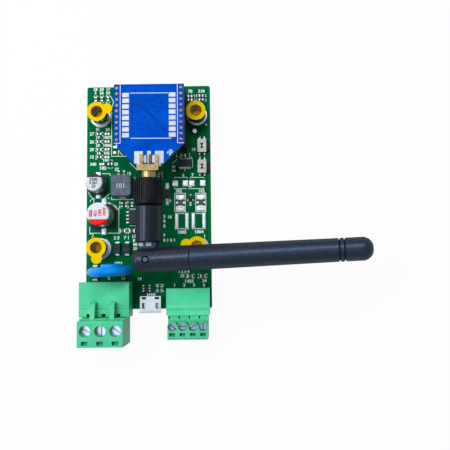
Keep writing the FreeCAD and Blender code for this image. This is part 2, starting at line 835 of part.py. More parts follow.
def antennaArm():
    half = "arm_across / 2"
    body = armPart(
        "antenna_knuckle",
        [("-arm_end_reach", "0"), ("-arm_end_reach", half), ("knuckle_reach", half), ("knuckle_reach", "0")],
    )
    rim = edgeNames(body, lambda edge: circleAt(edge, x="-arm_end_reach", radius=half))
    soften(body, "knuckle_end_round", "Fillet", rim, "arm_end_round")
    wall, open_end = "(tongue_nose / 2 + 0.35)", "(arm_end_reach + 1)"
    slot = newSketch(body, "knuckle_slot", "XY_Plane")
    outline(
        slot,
        [
            (f"-{open_end}", f"-{half}"),
            ("-4.1", f"-{half}"),
            ("-4.1", f"-{wall}"),
            (wall, f"-{wall}"),
            (wall, half),
            (f"-{open_end}", half),
        ],
    )
    pocket(body, slot, "tongue_thick + 2 * slot_gap", middle=True)
    bore = circle(newSketch(body, "knuckle_bore", "YZ_Plane", wall), "0", "0", "2.4")
    pocket(body, bore, "knuckle_reach", reverse=True)
    hole = circle(newSketch(body, "knuckle_pin_hole", "XY_Plane"), "0", "0", "hinge_pin")
    pocket(body, hole, "2 * arm_across", middle=True)
    keep(placeArm(body), "antenna_knuckle")

    cap_start = "(arm_reach - cap_long)"
    bore_end = f"({cap_start} - 2)"
    ring_start = f"({cap_start} - ring_gap)"
    joint, ring = f"{armAcross('knuckle_reach')} / 2", f"{armAcross(ring_start)} / 2"
    sleeve = armPart(
        "antenna_sleeve",
        [
            ("knuckle_reach", "arm_bore / 2"),
            ("knuckle_reach", f"{joint} - joint_deep"),
            ("knuckle_reach + joint_wide", f"{joint} - joint_deep"),
            ("knuckle_reach + joint_wide", joint),
            (ring_start, ring),
            (ring_start, f"{ring} - ring_deep"),
            (f"{ring_start} + ring_wide", f"{ring} - ring_deep"),
            (f"{ring_start} + ring_wide", ring),
            (cap_start, f"{armAcross(cap_start)} / 2"),
            (cap_start, "0"),
            (bore_end, "0"),
            (bore_end, "arm_bore / 2"),
        ],
    )
    keep(placeArm(sleeve), "antenna_sleeve")

    cap = armPart(
        "antenna_cap",
        [
            (cap_start, "0"),
            (cap_start, "arm_tip_across / 2 - ring_deep"),
            (f"{cap_start} + ring_wide", "arm_tip_across / 2 - ring_deep"),
            (f"{cap_start} + ring_wide", "arm_tip_across / 2"),
            ("arm_reach", "arm_tip_across / 2"),
            ("arm_reach", "0"),
        ],
    )
    rim = edgeNames(cap, lambda edge: circleAt(edge, x="arm_reach", radius="arm_tip_across / 2"))
    soften(cap, "cap_end_round", "Fillet", rim, "cap_round")
    keep(placeArm(cap), "antenna_cap")

    # the radiator: a metal tube with a rod out of its far end
    tube = armPart(
        "antenna_tube",
        [
            ("knuckle_reach", "0.8"),
            ("knuckle_reach", "radiator_across / 2"),
            ("knuckle_reach + radiator_long", "radiator_across / 2"),
            ("knuckle_reach + radiator_long", "0.8"),
        ],
    )
    keep(placeArm(tube), "antenna_tube")
    antenna_rod = armPart(
        "antenna_rod",
        [
            ("knuckle_reach", "0"),
            ("knuckle_reach", "rod_across / 2"),
            (bore_end, "rod_across / 2"),
            (bore_end, "0"),
        ],
    )
    keep(placeArm(antenna_rod), "antenna_rod")

    # hinge pin with a thinner neck at each end, so that a dark ring shows round it
    shoulder, end = "(arm_across / 2 - 0.95)", "(arm_across / 2 - 0.15)"
    pin = newBody("hinge_pin_body")
    profile = [
        ("0", f"-{end}"),
        ("hinge_neck / 2", f"-{end}"),
        ("hinge_neck / 2", f"-{shoulder}"),
        ("hinge_pin / 2", f"-{shoulder}"),
        ("hinge_pin / 2", shoulder),
        ("hinge_neck / 2", shoulder),
        ("hinge_neck / 2", end),
        ("0", end),
    ]
    revolve(pin, outline(newSketch(pin, "hinge_pin_profile", "XZ_Plane"), profile))
    keep(placeArm(pin), "hinge_pin")


def roundCapacitors():
    bases, leads = [], []
    for size, (x, y, cut_side) in CANS.items():
        across, tall = f"{size}_can_across", f"{size}_can_tall"
        body = newBody(f"{size}_can")
        rim, foot = f"{across} / 2", "can_base_tall"
        neck_z = f"({foot} + 1.2)"
        profile = [
            ("0", foot),
            (rim, foot),
            (rim, f"{neck_z} - 0.5"),
            (f"{rim} - can_neck_deep", neck_z),
            (rim, f"{neck_z} + 0.5"),
            (rim, tall),
            ("0", tall),
        ]
        revolve(body, outline(newSketch(body, f"{size}_can_profile", "XZ_Plane"), profile))
        edges = edgeNames(body, lambda edge: circleAt(edge, z=tall, radius=rim))
        soften(body, f"{size}_can_rim", "Fillet", edges, "can_round")
        seat(body, x, y, TOP)
        keep(body, f"{size}_can")

        base = newBody(f"{size}_base")
        side = f"({across} + 2 * can_base_rim)"
        plan = rectangle(newSketch(base, f"{size}_base_outline", "XY_Plane"), "0", "0", side, side)
        pad(base, plan, "can_base_tall")
        # wide cuts at the corners of one side, small ones at the other
        for side_y, name, cut in ((cut_side, "corners", f"{across} / 5"), (-cut_side, "backs", "0.7")):
            upright = edgeNames(
                base,
                lambda edge: close(edge.BoundBox.ZLength, number("can_base_tall"))
                and edge.BoundBox.YMin * side_y > 0,
            )
            soften(base, f"{size}_base_{name}", "Chamfer", upright, cut)
        slots = newSketch(base, f"{size}_base_slots", "XY_Plane")
        for way in (-1, 1):
            rectangle(slots, "0", f"{way} * {side} / 2", "can_lead_wide", "2 * 1.6")
        pocket(base, slots, "2 * (lead_thick + land_thick)", middle=True)
        seat(base, x, y, TOP)
        bases.append(base)
        for way in (-1, 1):
            reach = f"({side} / 2 + can_lead_reach)"
            middle = f"{y} + {way} * ({reach} - (1.6 + can_lead_reach) / 2)"
            strip = ("can_lead_wide", "1.6 + can_lead_reach", "lead_thick")
            leads.append(block(f"{size}_lead_{way + 1}", strip, (x, middle, f"{TOP} + land_thick")))
    keep(group("can_bases_group", bases), "can_bases")
    keep(group("can_leads_group", leads), "can_leads")


def inductor():
    x, y = f"{LEFT} + 13.1", "3.5"
    body = newBody("inductor")
    plan = rectangle(newSketch(body, "inductor_outline", "XY_Plane"), "0", "0", "coil_wide", "coil_long")
    pad(body, plan, "coil_tall")
    upright = edgeNames(body, lambda edge: close(edge.BoundBox.ZLength, number("coil_tall")))
    soften(body, "inductor_corners", "Fillet", upright, "coil_round")
    top = edgeNames(body, lambda edge: close(edge.BoundBox.ZMin, number("coil_tall")))
    soften(body, "inductor_rim", "Fillet", top, "coil_round / 3")
    ends = newSketch(body, "inductor_end_seats", "XY_Plane")
    for way in (-1, 1):
        rectangle(ends, "0", f"{way} * coil_long / 2", "2.6", "2.4")
    pocket(body, ends, "2 * lead_thick", middle=True)
    seat(body, x, y, TOP)
    keep(body, "inductor")
    tabs = [
        block(f"inductor_tab_{way + 1}", ("2.5", "1.4", "lead_thick"), (x, f"{y} + {way} * (coil_long / 2 - 0.4)", TOP))
        for way in (-1, 1)
    ]
    keep(group("inductor_tabs_group", tabs), "inductor_tabs")


# gull-wing leads of one chip: a bent strip repeated along the body, on one or both sides
def gullLeads(name, half_body, reach, level, wide, copies, pitch, both=True):
    body = newBody(name)
    sketch = newSketch(body, f"{name}_bend", "XZ_Plane", f"({copies} - 1) * ({pitch}) / 2")
    knee = f"({half_body} + ({reach}) * 0.45)"
    thick = "lead_thick"
    outline(
        sketch,
        [
            (half_body, level),
            (f"{knee} - {thick} / 2", level),
            (f"{knee} - {thick} / 2", "0"),
            (f"{half_body} + {reach}", "0"),
            (f"{half_body} + {reach}", thick),
            (f"{knee} + {thick} / 2", thick),
            (f"{knee} + {thick} / 2", f"{level} + {thick}"),
            (half_body, f"{level} + {thick}"),
        ],
    )
    feature = pad(body, sketch, wide, middle=True)
    if copies > 1:
        line = row(body, f"{name}_row", [feature], copies, f"({pitch})", "Y_Axis")
    if both and copies > 1:
        mirror = body.newObject("PartDesign::Mirrored", f"{name}_mirror")
        mirror.MirrorPlane = (origin(body, "YZ_Plane"), [""])
        line.Originals = []
        rows = body.newObject("PartDesign::MultiTransform", f"{name}_rows")
        rows.Originals = [feature]
        rows.Transformations = [mirror, line]
        body.Tip = rows
    elif both:
        mirror = body.newObject("PartDesign::Mirrored", f"{name}_mirror")
        mirror.Originals = [feature]
        mirror.MirrorPlane = (origin(body, "YZ_Plane"), [""])
        body.Tip = mirror
    return body


def placed(body, x, y, z=TOP, turn=0):
    body.Placement = FreeCAD.Placement(FreeCAD.Vector(), FreeCAD.Rotation(FreeCAD.Vector(0, 0, 1), turn))
    seat(body, x, y, z)
    return body


def chips():
    # moulded chips with leads: name, middle, body along and across its leads, tall, leads per side, pitch, turn
    regulator = ("regulator", "-5.05", "-7.6", "3.9", "4.9", "1.45", 4, "1.27", 0)
    driver = ("line_driver", "13.3", "11.8", "2.8", "4.7", "1.0", 5, "0.85", 90)
    guard = ("usb_guard", "-0.78", "-33.15", "1.6", "2.9", "1.1", 3, "0.95", 0)
    bodies, leads = [], []
    for name, x, y, across, long, tall, copies, pitch, turn in (regulator, driver, guard):
        size = (across, long, f"{tall} - 0.1") if turn == 0 else (long, across, f"{tall} - 0.1")
        bodies.append(block(f"{name}_body", size, (x, y, f"{TOP} + 0.1")))
        reach = "1.1" if name == "regulator" else "0.65"
        body = gullLeads(f"{name}_leads", f"({across}) / 2", reach, f"({tall}) / 2", f"0.38 * {pitch}", copies, pitch)
        leads.append(placed(body, x, y, turn=turn))
    # small transistor between the fuses: two leads below, one above
    x, y = f"{RIGHT} - 7.35", "-0.7"
    bodies.append(block("transistor_body", ("2.7", "1.35", "0.9"), (x, y, f"{TOP} + 0.1")))
    pair = gullLeads("transistor_pair", "0.675", "0.55", "0.45", "0.4", 2, "1.9", both=False)
    single = gullLeads("transistor_single", "0.675", "0.55", "0.45", "0.4", 1, "0", both=False)
    leads += [placed(pair, x, y, turn=-90), placed(single, x, y, turn=90)]
    keep(bodies[0], "regulator")
    keep(group("small_chips_group", bodies[1:]), "small_chips")
    keep(group("chip_leads_group", leads), "chip_leads")


def diodes():
    # name, middle, wide, long, tall: all lie along Y with a strip lead folded under each end
    kinds = (
        ("output", f"{LEFT} + 11.3", "-18.9", "2.3", "3.7", "2.1"),
        ("input", f"{LEFT} + 14.8", "-18.9", "2.3", "3.7", "2.1"),
        ("surge", f"{LEFT} + 3.35", "-27.4", "2.6", "4.3", "2.2"),
        ("line", f"{RIGHT} - 15.75", "0.65", "2.0", "3.5", "1.2"),
    )
    bodies, leads = [], []
    for name, x, y, wide, long, tall in kinds:
        body = newBody(f"{name}_diode")
        plan = rectangle(newSketch(body, f"{name}_diode_outline", "XY_Plane"), "0", "0", wide, long)
        pad(body, plan, f"{tall} - 0.05")
        top = edgeNames(body, lambda edge: close(edge.BoundBox.ZMin, number(f"{tall} - 0.05")))
        soften(body, f"{name}_diode_draft", "Chamfer", top, "0.15")
        bodies.append(placed(body, x, y, f"{TOP} + 0.05"))
        lead = gullLeads(f"{name}_diode_leads", f"{long} / 2", "0.65", f"({tall}) * 0.45", f"{wide} * 0.6", 1, "0")
        foot_z = f"{TOP} + land_thick" if name == "line" else TOP
        leads.append(placed(lead, x, y, foot_z, turn=90))
    keep(group("diodes_group", bodies), "diodes")
    keep(group("diode_leads_group", leads), "diode_leads")


def chipParts():
    # two-terminal chips by kind: middle, size, whether they lie along Y, and their foot where it is on a land
    # the sizes are long, wide, tall, end cap
    small = ("1.6", "0.8", "0.45", "0.3")
    middling = ("2.0", "1.25", "0.7", "0.4")
    large = ("3.2", "1.6", "0.6", "0.5")
    resistors = [(f"{LEFT} + 4.5", f"{HEAD} - {17.45 + 2.87 * step:.2f}", small, False) for step in range(4)]
    resistors += [
        (f"{LEFT} + 5.4", f"{HEAD} - 4.5", small, True),
        (f"{LEFT} + 7.65", f"{HEAD} - 4.45", small, True),
        (f"{LEFT} + 8.5", f"{HEAD} - 28.55", small, False),
        (f"{RIGHT} - 7.25", f"{HEAD} - 3.9", small, False),
        (f"{RIGHT} - 3.2", f"{HEAD} - 3.7", small, False),
        (f"{LEFT} + 12.75", "-3.05", small, True),
        (f"{LEFT} + 16.5", "-12.55", middling, False),
        (f"{RIGHT} - 11.02", "-2.55", large, True, f"{TOP} + land_thick"),
        (f"{RIGHT} - 3.6", "-2.55", large, True, f"{TOP} + land_thick"),
        (f"{RIGHT} - 7.65", "-29.0", middling, False),
        (f"{RIGHT} - 3.1", "-29.05", middling, False),
        ("3.2", "-33.15", small, True),
        ("4.4", "7.15", small, False),
    ]
    capacitors = [
        (f"{LEFT} + 3.15", f"{HEAD} - 4.5", small, True),
        (f"{LEFT} + 11.65", "8.6", small, True),
        (f"{LEFT} + 13.6", "8.6", small, True),
        (f"{RIGHT} - 7.25", f"{HEAD} - 5.2", small, False),
        (f"{RIGHT} - 3.2", f"{HEAD} - 5.15", small, False),
        (f"{LEFT} + 14.45", "-3.0", small, True),
        (f"{LEFT} + 16.5", "-2.95", small, True),
        (f"{LEFT} + 13.15", "-12.5", middling, False),
        (f"{RIGHT} - 13.35", "9.85", middling, True),
        (f"{RIGHT} - 9.9", "14.65", middling, False),
        ("4.65", "-33.2", small, True),
        ("4.4", "8.15", small, False),
    ]
    lamps = [(f"{LEFT} + 7.4", f"{HEAD} - {17.45 + 2.87 * step:.2f}", small, False) for step in range(4)]
    lamps.append((f"{LEFT} + 5.5", f"{HEAD} - 28.6", small, False))
    ends = []
    kinds = {"chip_resistors": resistors, "chip_capacitors": capacitors, "lamps": lamps}
    for label, chips_of_kind in kinds.items():
        bodies = []
        for x, y, (long, wide, tall, cap), along_y, *raised in chips_of_kind:
            name, z = f"{label}_{len(bodies)}", raised[0] if raised else TOP
            core = (f"{long} - 2 * {cap}", wide, tall)
            tip = (cap, wide, f"{tall} + 0.03")
            if along_y:
                core, tip = (core[1], core[0], core[2]), (tip[1], tip[0], tip[2])
            bodies.append(block(name, core, (x, y, z)))
            for way in (-1, 1):
                shift = f"{way} * ({long} - {cap}) / 2"
                spot = (x, f"{y} + {shift}") if along_y else (f"{x} + {shift}", y)
                ends.append(block(f"{name}_end_{way + 1}", tip, (*spot, z)))
        keep(group(f"{label}_group", bodies), label)
    keep(group("chip_ends_group", ends), "chip_ends")


def varistor():
    body = newBody("varistor")
    # a disc with rounded rim: half its section turned about the sketch's V axis
    half, round_by = "disc_thick / 2", "(disc_thick * 0.36)"
    profile = [
        ("0", f"-{half}"),
        (f"disc_across / 2 - {round_by}", f"-{half}"),
        ("disc_across / 2", f"-{half} + {round_by}"),
        ("disc_across / 2", f"{half} - {round_by}"),
        (f"disc_across / 2 - {round_by}", half),
        ("0", half),
    ]
    revolve(body, outline(newSketch(body, "disc_profile", "XY_Plane"), profile))
    rims = edgeNames(
        body, lambda edge: isinstance(edge.Curve, Part.Circle) and edge.Curve.Radius > number("disc_across * 0.35")
    )
    soften(body, "disc_rims", "Fillet", rims, "disc_thick * 0.17")
    # the wire crossing one face raises the coating there
    bulge = circle(newSketch(body, "disc_bulge_ring", "XZ_Plane"), "0.5", "0", "disc_bulge_across")
    pad(body, bulge, f"{half} + disc_bulge", reverse=True)
    crest = edgeNames(body, lambda edge: circleAt(edge, y=f"{half} + disc_bulge", radius="disc_bulge_across / 2"))
    soften(body, "disc_bulge_rim", "Fillet", crest, "0.7 * disc_bulge")
    # the coating runs down both wires as shoulders
    shoulders = newSketch(body, "disc_shoulders", "XZ_Plane")
    low, high = "(disc_across / 2 + disc_lift - 0.5)", "4"
    for way in (-1, 1):
        spot = (f"{way} * disc_lead_gap / 2", f"-({low} + {high}) / 2")
        rectangle(shoulders, *spot, "disc_shoulder", f"{low} - {high}")
    pad(body, shoulders, "disc_shoulder", middle=True)
    lean = FreeCAD.Rotation(number("disc_turn_deg"), 0, number("disc_lean_deg"))
    body.Placement = FreeCAD.Placement(FreeCAD.Vector(), lean)
    seat(body, "disc_x", "disc_y", f"{TOP} + disc_lift + disc_across / 2")
    keep(body, "varistor")
    wires = [
        rod(
            f"varistor_wire_{way + 1}",
            "disc_lead",
            "board_thick + tail_long + 0.4",
            (f"disc_x + {way} * disc_lead_gap / 2", "disc_y", "-tail_long"),
        )
        for way in (-1, 1)
    ]
    keep(group("varistor_wires_group", wires), "varistor_wires")


def switches():
    x = f"({RIGHT} - switch_in)"
    cases, plates, legs = [], [], []
    for step, y in enumerate(("switch_a_y", "switch_b_y")):
        face = "(switch_wide / 2)"
        case = newBody(f"switch_case_{step}")
        plan = newSketch(case, f"switch_case_outline_{step}", "XY_Plane")
        rectangle(plan, "0", "0", "switch_wide", "switch_long")
        pad(case, plan, "switch_tall - plate_thick")
        well = newSketch(case, f"switch_well_{step}", "YZ_Plane", face)
        wide, tall = "button_wide + 2 * button_gap", "button_tall + 2 * button_gap"
        rectangle(well, "0", "switch_tall / 2 - 0.05", wide, tall)
        pocket(case, well, "button_out + button_travel + 0.1")
        cases.append(placed(case, x, y))
        button = newBody(f"button_{'ab'[step]}")
        key = newSketch(button, f"button_outline_{step}", "XY_Plane")
        inner, outer, side = f"({face} - button_out)", f"({face} + button_out)", "(button_wide / 2)"
        rectangle(key, f"({inner} + {outer}) / 2", "0", f"{outer} - {inner}", f"2 * {side}")
        pad(button, key, "button_tall")
        tips = edgeNames(
            button,
            lambda edge: close(edge.BoundBox.ZLength, number("button_tall"))
            and close(edge.BoundBox.XMin, number(outer)),
        )
        soften(button, f"button_tips_{step}", "Fillet", tips, "0.3")
        keep(placed(button, x, y, f"{TOP} + switch_tall / 2 - 0.05 - button_tall / 2"), f"button_{'ab'[step]}")

        # cover plate with a window shaped as two triangles, tip to tip
        plate = newBody(f"switch_plate_{step}")
        plan = newSketch(plate, f"switch_plate_outline_{step}", "XY_Plane")
        pad(plate, rectangle(plan, "0", "0", "switch_wide", "switch_long"), "plate_thick")
        window = newSketch(plate, f"switch_window_{step}", "XY_Plane")
        outline(
            window,
            [
                ("-0.55", "-0.95"),
                ("0.55", "-0.95"),
                ("0.55", "-0.6"),
                ("0.15", "0"),
                ("0.55", "0.6"),
                ("0.55", "0.95"),
                ("-0.55", "0.95"),
                ("-0.55", "0.6"),
                ("-0.15", "0"),
                ("-0.55", "-0.6"),
            ],
        )
        pocket(plate, window, "3 * plate_thick", middle=True)
        plates.append(placed(plate, x, y, f"{TOP} + switch_tall - plate_thick"))
        for side_x in (-1, 1):
            for side_y in (-1, 1):
                spot = (f"{x} + {side_x} * switch_wide / 3.5", f"{y} + {side_y} * (switch_long / 2 + 0.4)", TOP)
                legs.append(block(f"switch_leg_{len(legs)}", ("0.55", "0.8", "lead_thick"), spot))
    keep(group("switch_cases_group", cases), "switch_cases")
    keep(group("switch_plates_group", plates), "switch_plates")
    keep(group("switch_legs_group", legs), "switch_legs")


def usbSocket():
    mouth, x = f"({FOOT} - usb_overhang)", "usb_x"
    shell = newBody("usb_shell")
    # D-shaped tube: narrower below, seen from the mouth
    low, high, half = "0", "usb_tall", "usb_wide / 2"
    outer = [
        (f"-{half} + 0.9", low),
        (f"{half} - 0.9", low),
        (half, f"{low} + 0.9"),
        (half, high),
        (f"-{half}", high),
        (f"-{half}", f"{low} + 0.9"),
    ]
    pad(shell, outline(newSketch(shell, "usb_tube", "XZ_Plane", f"-({mouth} + usb_deep)"), outer), "usb_deep")
    sheet_in = "usb_sheet"
    inner = [
        (f"-{half} + 0.9 + {sheet_in} / 2", f"{low} + {sheet_in}"),
        (f"{half} - 0.9 - {sheet_in} / 2", f"{low} + {sheet_in}"),
        (f"{half} - {sheet_in}", f"{low} + 0.9 + {sheet_in} / 2"),
        (f"{half} - {sheet_in}", f"{high} - {sheet_in}"),
        (f"-{half} + {sheet_in}", f"{high} - {sheet_in}"),
        (f"-{half} + {sheet_in}", f"{low} + 0.9 + {sheet_in} / 2"),
    ]
    pocket(shell, outline(newSketch(shell, "usb_cavity", "XZ_Plane", f"-({mouth})"), inner), "usb_deep")
    # flared lip round the top of the mouth
    lip = newSketch(shell, "usb_lip", "XZ_Plane", f"-({mouth})")
    rectangle(lip, "0", f"{high} + usb_flare / 2", "usb_wide + 2 * usb_flare", "usb_flare")
    pad(shell, lip, "usb_sheet", reverse=True)
    # latch slots and rear openings of the top sheet
    slots = newSketch(shell, "usb_slots", "XY_Plane", high)
    for side in (-1, 1):
        rectangle(slots, f"{side} * 2.4", f"{mouth} + 2.55", "1.1", "2.0")
        rectangle(slots, f"{side} * 2.3", f"{mouth} + usb_deep - 0.7", "1.5", "0.8")
    pocket(shell, slots, "usb_sheet + 0.1")
    # tabs that are soldered through to the sides
    feet = newSketch(shell, "usb_feet", "XY_Plane")
    for side in (-1, 1):
        rectangle(feet, f"{side} * ({half} - 0.5)", f"{mouth} + usb_deep - 1.3", "1.0", "1.2")
    pad(shell, feet, "usb_sheet")
    keep(placed(shell, x, "0"), "usb_shell")

    back, level = f"{mouth} + usb_deep", f"{TOP} + usb_tall * 0.45"
    plate_size = ("3.6", "usb_deep - 1.2", "0.5")
    base_size = ("usb_wide - 2.4", "1.0", "usb_tall - 2 * usb_sheet - 0.1")
    tongue = fused(
        "usb_tongue_fuse",
        [
            block("usb_tongue_plate", plate_size, (x, f"{back} - (usb_deep - 1.2) / 2", level)),
            block("usb_tongue_base", base_size, (x, f"{back} - 0.5", f"{TOP} + usb_sheet + 0.05")),
        ],
    )
    keep(tongue, "usb_tongue")
    contacts = []
    for step in range(5):
        contact_x = f"{x} + {step - 2} * 0.65"
        strip_y = f"{back} - usb_deep / 2 + 0.2"
        contacts.append(
            block(f"usb_contact_{step}", ("0.35", "usb_deep - 2.4", "0.1"), (contact_x, strip_y, f"{level} - 0.1"))
        )
        contacts.append(block(f"usb_tail_{step}", ("0.35", "0.9", "0.15"), (contact_x, f"{back} + 0.45", TOP)))
    keep(group("usb_contacts_group", contacts), "usb_contacts")


# both connectors follow one pattern: an open header on the board and a plug with clamps pushed into it
def header(side):
    face = f"({FOOT} - {side}_overhang)"
    back = f"({face} + {side}_header_deep)"
    tall, wall = f"{side}_header_tall", f"{side}_wall"
    inner_wide = f"({side}_poles * {side}_pitch + 2 * plug_gap - {plugTrim(side)})"
    body = newBody(f"{side}_header_box")
    wide, deep = f"{side}_header_wide", f"{side}_header_deep"
    plan = newSketch(body, f"{side}_header_outline", "XY_Plane")
    pad(body, rectangle(plan, "0", f"({face} + {back}) / 2", wide, deep), tall)
    mouth = newSketch(body, f"{side}_header_mouth", "XZ_Plane", f"-({face})")
    rectangle(mouth, "0", f"{tall} / 2", inner_wide, f"{tall} - 2 * {wall}")
    pocket(body, mouth, f"{side}_nose + 0.3")
    if side == "power":
        # notches that lock the plug's fingers, and the step that runs across the roof
        notches = newSketch(body, "power_header_notches", "XY_Plane", tall)
        for place in range(count("power_poles")):
            rectangle(notches, f"({place} - 1) * power_pitch - 0.1", f"{face} + 0.6", "1.5", "1.2")
        pocket(body, notches, f"{wall} + 0.1")
    step = newSketch(body, f"{side}_roof_step", "XY_Plane", tall)
    pocket(body, rectangle(step, "0", f"{face} + {deep} * 0.23", wide, "0.3"), "0.15")
    placed(body, f"{side}_x", "0")
    pins = []
    for place in range(count(f"{side}_poles")):
        x, thick = poleX(side, place), f"{side}_pin"
        level = f"({TOP} + {side}_pin_level)"
        long = f"({tailY(side)} + {thick} / 2 - ({face} + 1.2))"
        bar_spot = (x, f"{face} + 1.2 + {long} / 2", f"{level} - {thick} / 2")
        tail_size = (thick, thick, f"{level} + tail_long")
        bar = block(f"{side}_pin_bar_{place}", (thick, long, thick), bar_spot)
        tail = block(f"{side}_pin_tail_{place}", tail_size, (x, tailY(side), "-tail_long"))
        pins.append(fused(f"{side}_pin_{place}", [bar, tail]))
    pin_group = keep(group(f"{side}_pins_group", pins), f"{side}_pins")
    keep(less(f"{side}_header_cut", body, pin_group), f"{side}_header")


# how much narrower than its poles the plug is
def plugTrim(side):
    return "0" if side == "power" else "0.2"


def plug(side):
    face = f"({FOOT} - {side}_overhang)"
    front = f"({face} - {side}_plug_deep)"
    nose = f"({face} + {side}_nose)"
    tall, roof, floor = f"{side}_plug_tall", f"({side}_header_tall - {side}_wall)", f"{side}_wall"
    wide = f"({side}_poles * {side}_pitch - {plugTrim(side)})"
    rear = f"({face} - 0.15)"
    body = newBody(f"{side}_plug")
    section = newSketch(body, f"{side}_plug_section", "YZ_Plane")
    foot = "0" if side == "power" else "-1.6"
    shelf, shelf_back = "12", "0.75"
    if side == "signal":
        shelf, shelf_back = "(signal_plug_tall - 2.4)", "signal_screw_back"
    outline(
        section,
        [
            (nose, f"{floor} + plug_gap"),
            (nose, f"{roof} - plug_gap"),
            (rear, f"{roof} - plug_gap"),
            (rear, shelf),
            (f"{face} - {shelf_back}", shelf),
            (f"{face} - {shelf_back}", tall),
            (front, tall),
            (front, foot),
            (rear, foot),
            (rear, f"{floor} + plug_gap"),
        ],
    )
    pad(body, section, wide, middle=True)
    screw_y = f"({face} - {side}_screw_back)"
    cage, entry, gap = f"{side}_cage", f"{side}_entry", "cage_gap"
    level = f"{side}_pin_level"
    first = f"(-({side}_poles - 1) / 2 * {side}_pitch)"
    sleeve = f"({side}_pin + 2 * turn_gap + 2 * contact_wall)"
    cage_tall = f"({cage} * 1.2)"
    cage_z = f"({level} - {entry} * 0.12)"
    cuts = []
    if side == "signal":
        # a raised ring round each screw, and a slot behind each ring
        ring = newSketch(body, "signal_ring", "XY_Plane", f"{shelf} - 0.5")
        ring_pad = pad(body, circle(ring, first, screw_y, "signal_pitch - 0.06"), f"{tall} - {shelf} + 0.5")
        row(body, "signal_rings", [ring_pad], "signal_poles", "signal_pitch")
        gap_slot = newSketch(body, "signal_rear_slot", "XY_Plane", shelf)
        rectangle(gap_slot, f"{first} - 1.25", f"{rear} - 0.45", "0.45", "1.1")
        cuts.append(pocket(body, gap_slot, "3"))

    def front_cut(name, plane_y, x, z, across, high, deep):
        shape = rectangle(newSketch(body, f"{side}_{name}", "XZ_Plane", f"-({plane_y})"), x, z, across, high)
        cuts.append(pocket(body, shape, deep))

    front_cut("wire_entry", front, first, cage_z, entry, f"{entry} * 1.15", f"{screw_y} - {front}")
    seat_wide, seat_tall, way = f"{cage} + 2 * {gap}", f"{cage_tall} + 2 * {gap}", f"{sleeve} + 2 * {gap}"
    front_cut("cage_seat", f"({screw_y} - {cage} / 2 - {gap})", first, cage_z, seat_wide, seat_tall, seat_wide)
    front_cut("sleeve_seat", screw_y, first, level, way, way, f"{nose} - {screw_y} + 1")
    across = f"{side}_screw_across"
    for name, hole, deep in (
        ("screw_well", f"{across} + 0.1", f"{tall} * 0.345"),
        ("screw_shaft", f"{across} * 0.68", f"{tall} - {cage_z}"),
    ):
        shape = circle(newSketch(body, f"{side}_{name}", "XY_Plane", tall), first, screw_y, hole)
        cuts.append(pocket(body, shape, deep))
    probe = newSketch(body, f"{side}_probe", "XY_Plane", tall)
    probe_y = f"({front} + 1.35)" if side == "power" else f"({front} + 1.7)"
    probe_size = ("2.2", "1.35") if side == "power" else ("2.0", "1.2")
    rectangle(probe, first, probe_y, *probe_size)
    cuts.append(pocket(body, probe, "probe_deep"))
    row(body, f"{side}_poles_row", cuts, f"{side}_poles", f"{side}_pitch")

    screws, cages = [], []
    for place in range(count(f"{side}_poles")):
        x = poleX(side, place)
        head_tall = f"({tall} * 0.12)"
        head_z = f"({TOP} + {tall} * 0.66)"
        head = rod(f"{side}_screw_head_{place}", across, head_tall, (x, screw_y, head_z))
        # slots stop at different angles
        angles = {"power": (-25, 90, -35), "signal": (-40, 0, 35, 90)}[side]
        angle = angles[place % len(angles)]
        slot = doc.addObject("Part::Box", f"{side}_screw_slot_{place}")
        drive(slot, "Length", f"{across} + 1")
        drive(slot, "Width", f"{across} * 0.16")
        drive(slot, "Height", head_tall)
        slot.Placement = FreeCAD.Placement(FreeCAD.Vector(), FreeCAD.Rotation(FreeCAD.Vector(0, 0, 1), angle))
        half_long, half_wide = f"({across} + 1) / 2", f"{across} * 0.08"
        east, north = round(math.cos(math.radians(angle)), 6), round(math.sin(math.radians(angle)), 6)
        seat(
            slot,
            f"{x} - {half_long} * {east} + {half_wide} * {north}",
            f"{screw_y} - {half_long} * {north} - {half_wide} * {east}",
            f"{head_z} + {head_tall} * 0.5",
        )
        shank_z = f"({TOP} + {cage_z} + {cage_tall} / 2 - contact_wall - 0.6)"
        shank_spot = (x, screw_y, shank_z)
        shank = rod(f"{side}_screw_shank_{place}", f"{across} * 0.6", f"{head_z} - {shank_z}", shank_spot)
        slotted = less(f"{side}_screw_slotted_{place}", head, slot)
        screws.append(fused(f"{side}_screw_{place}", [slotted, shank]))

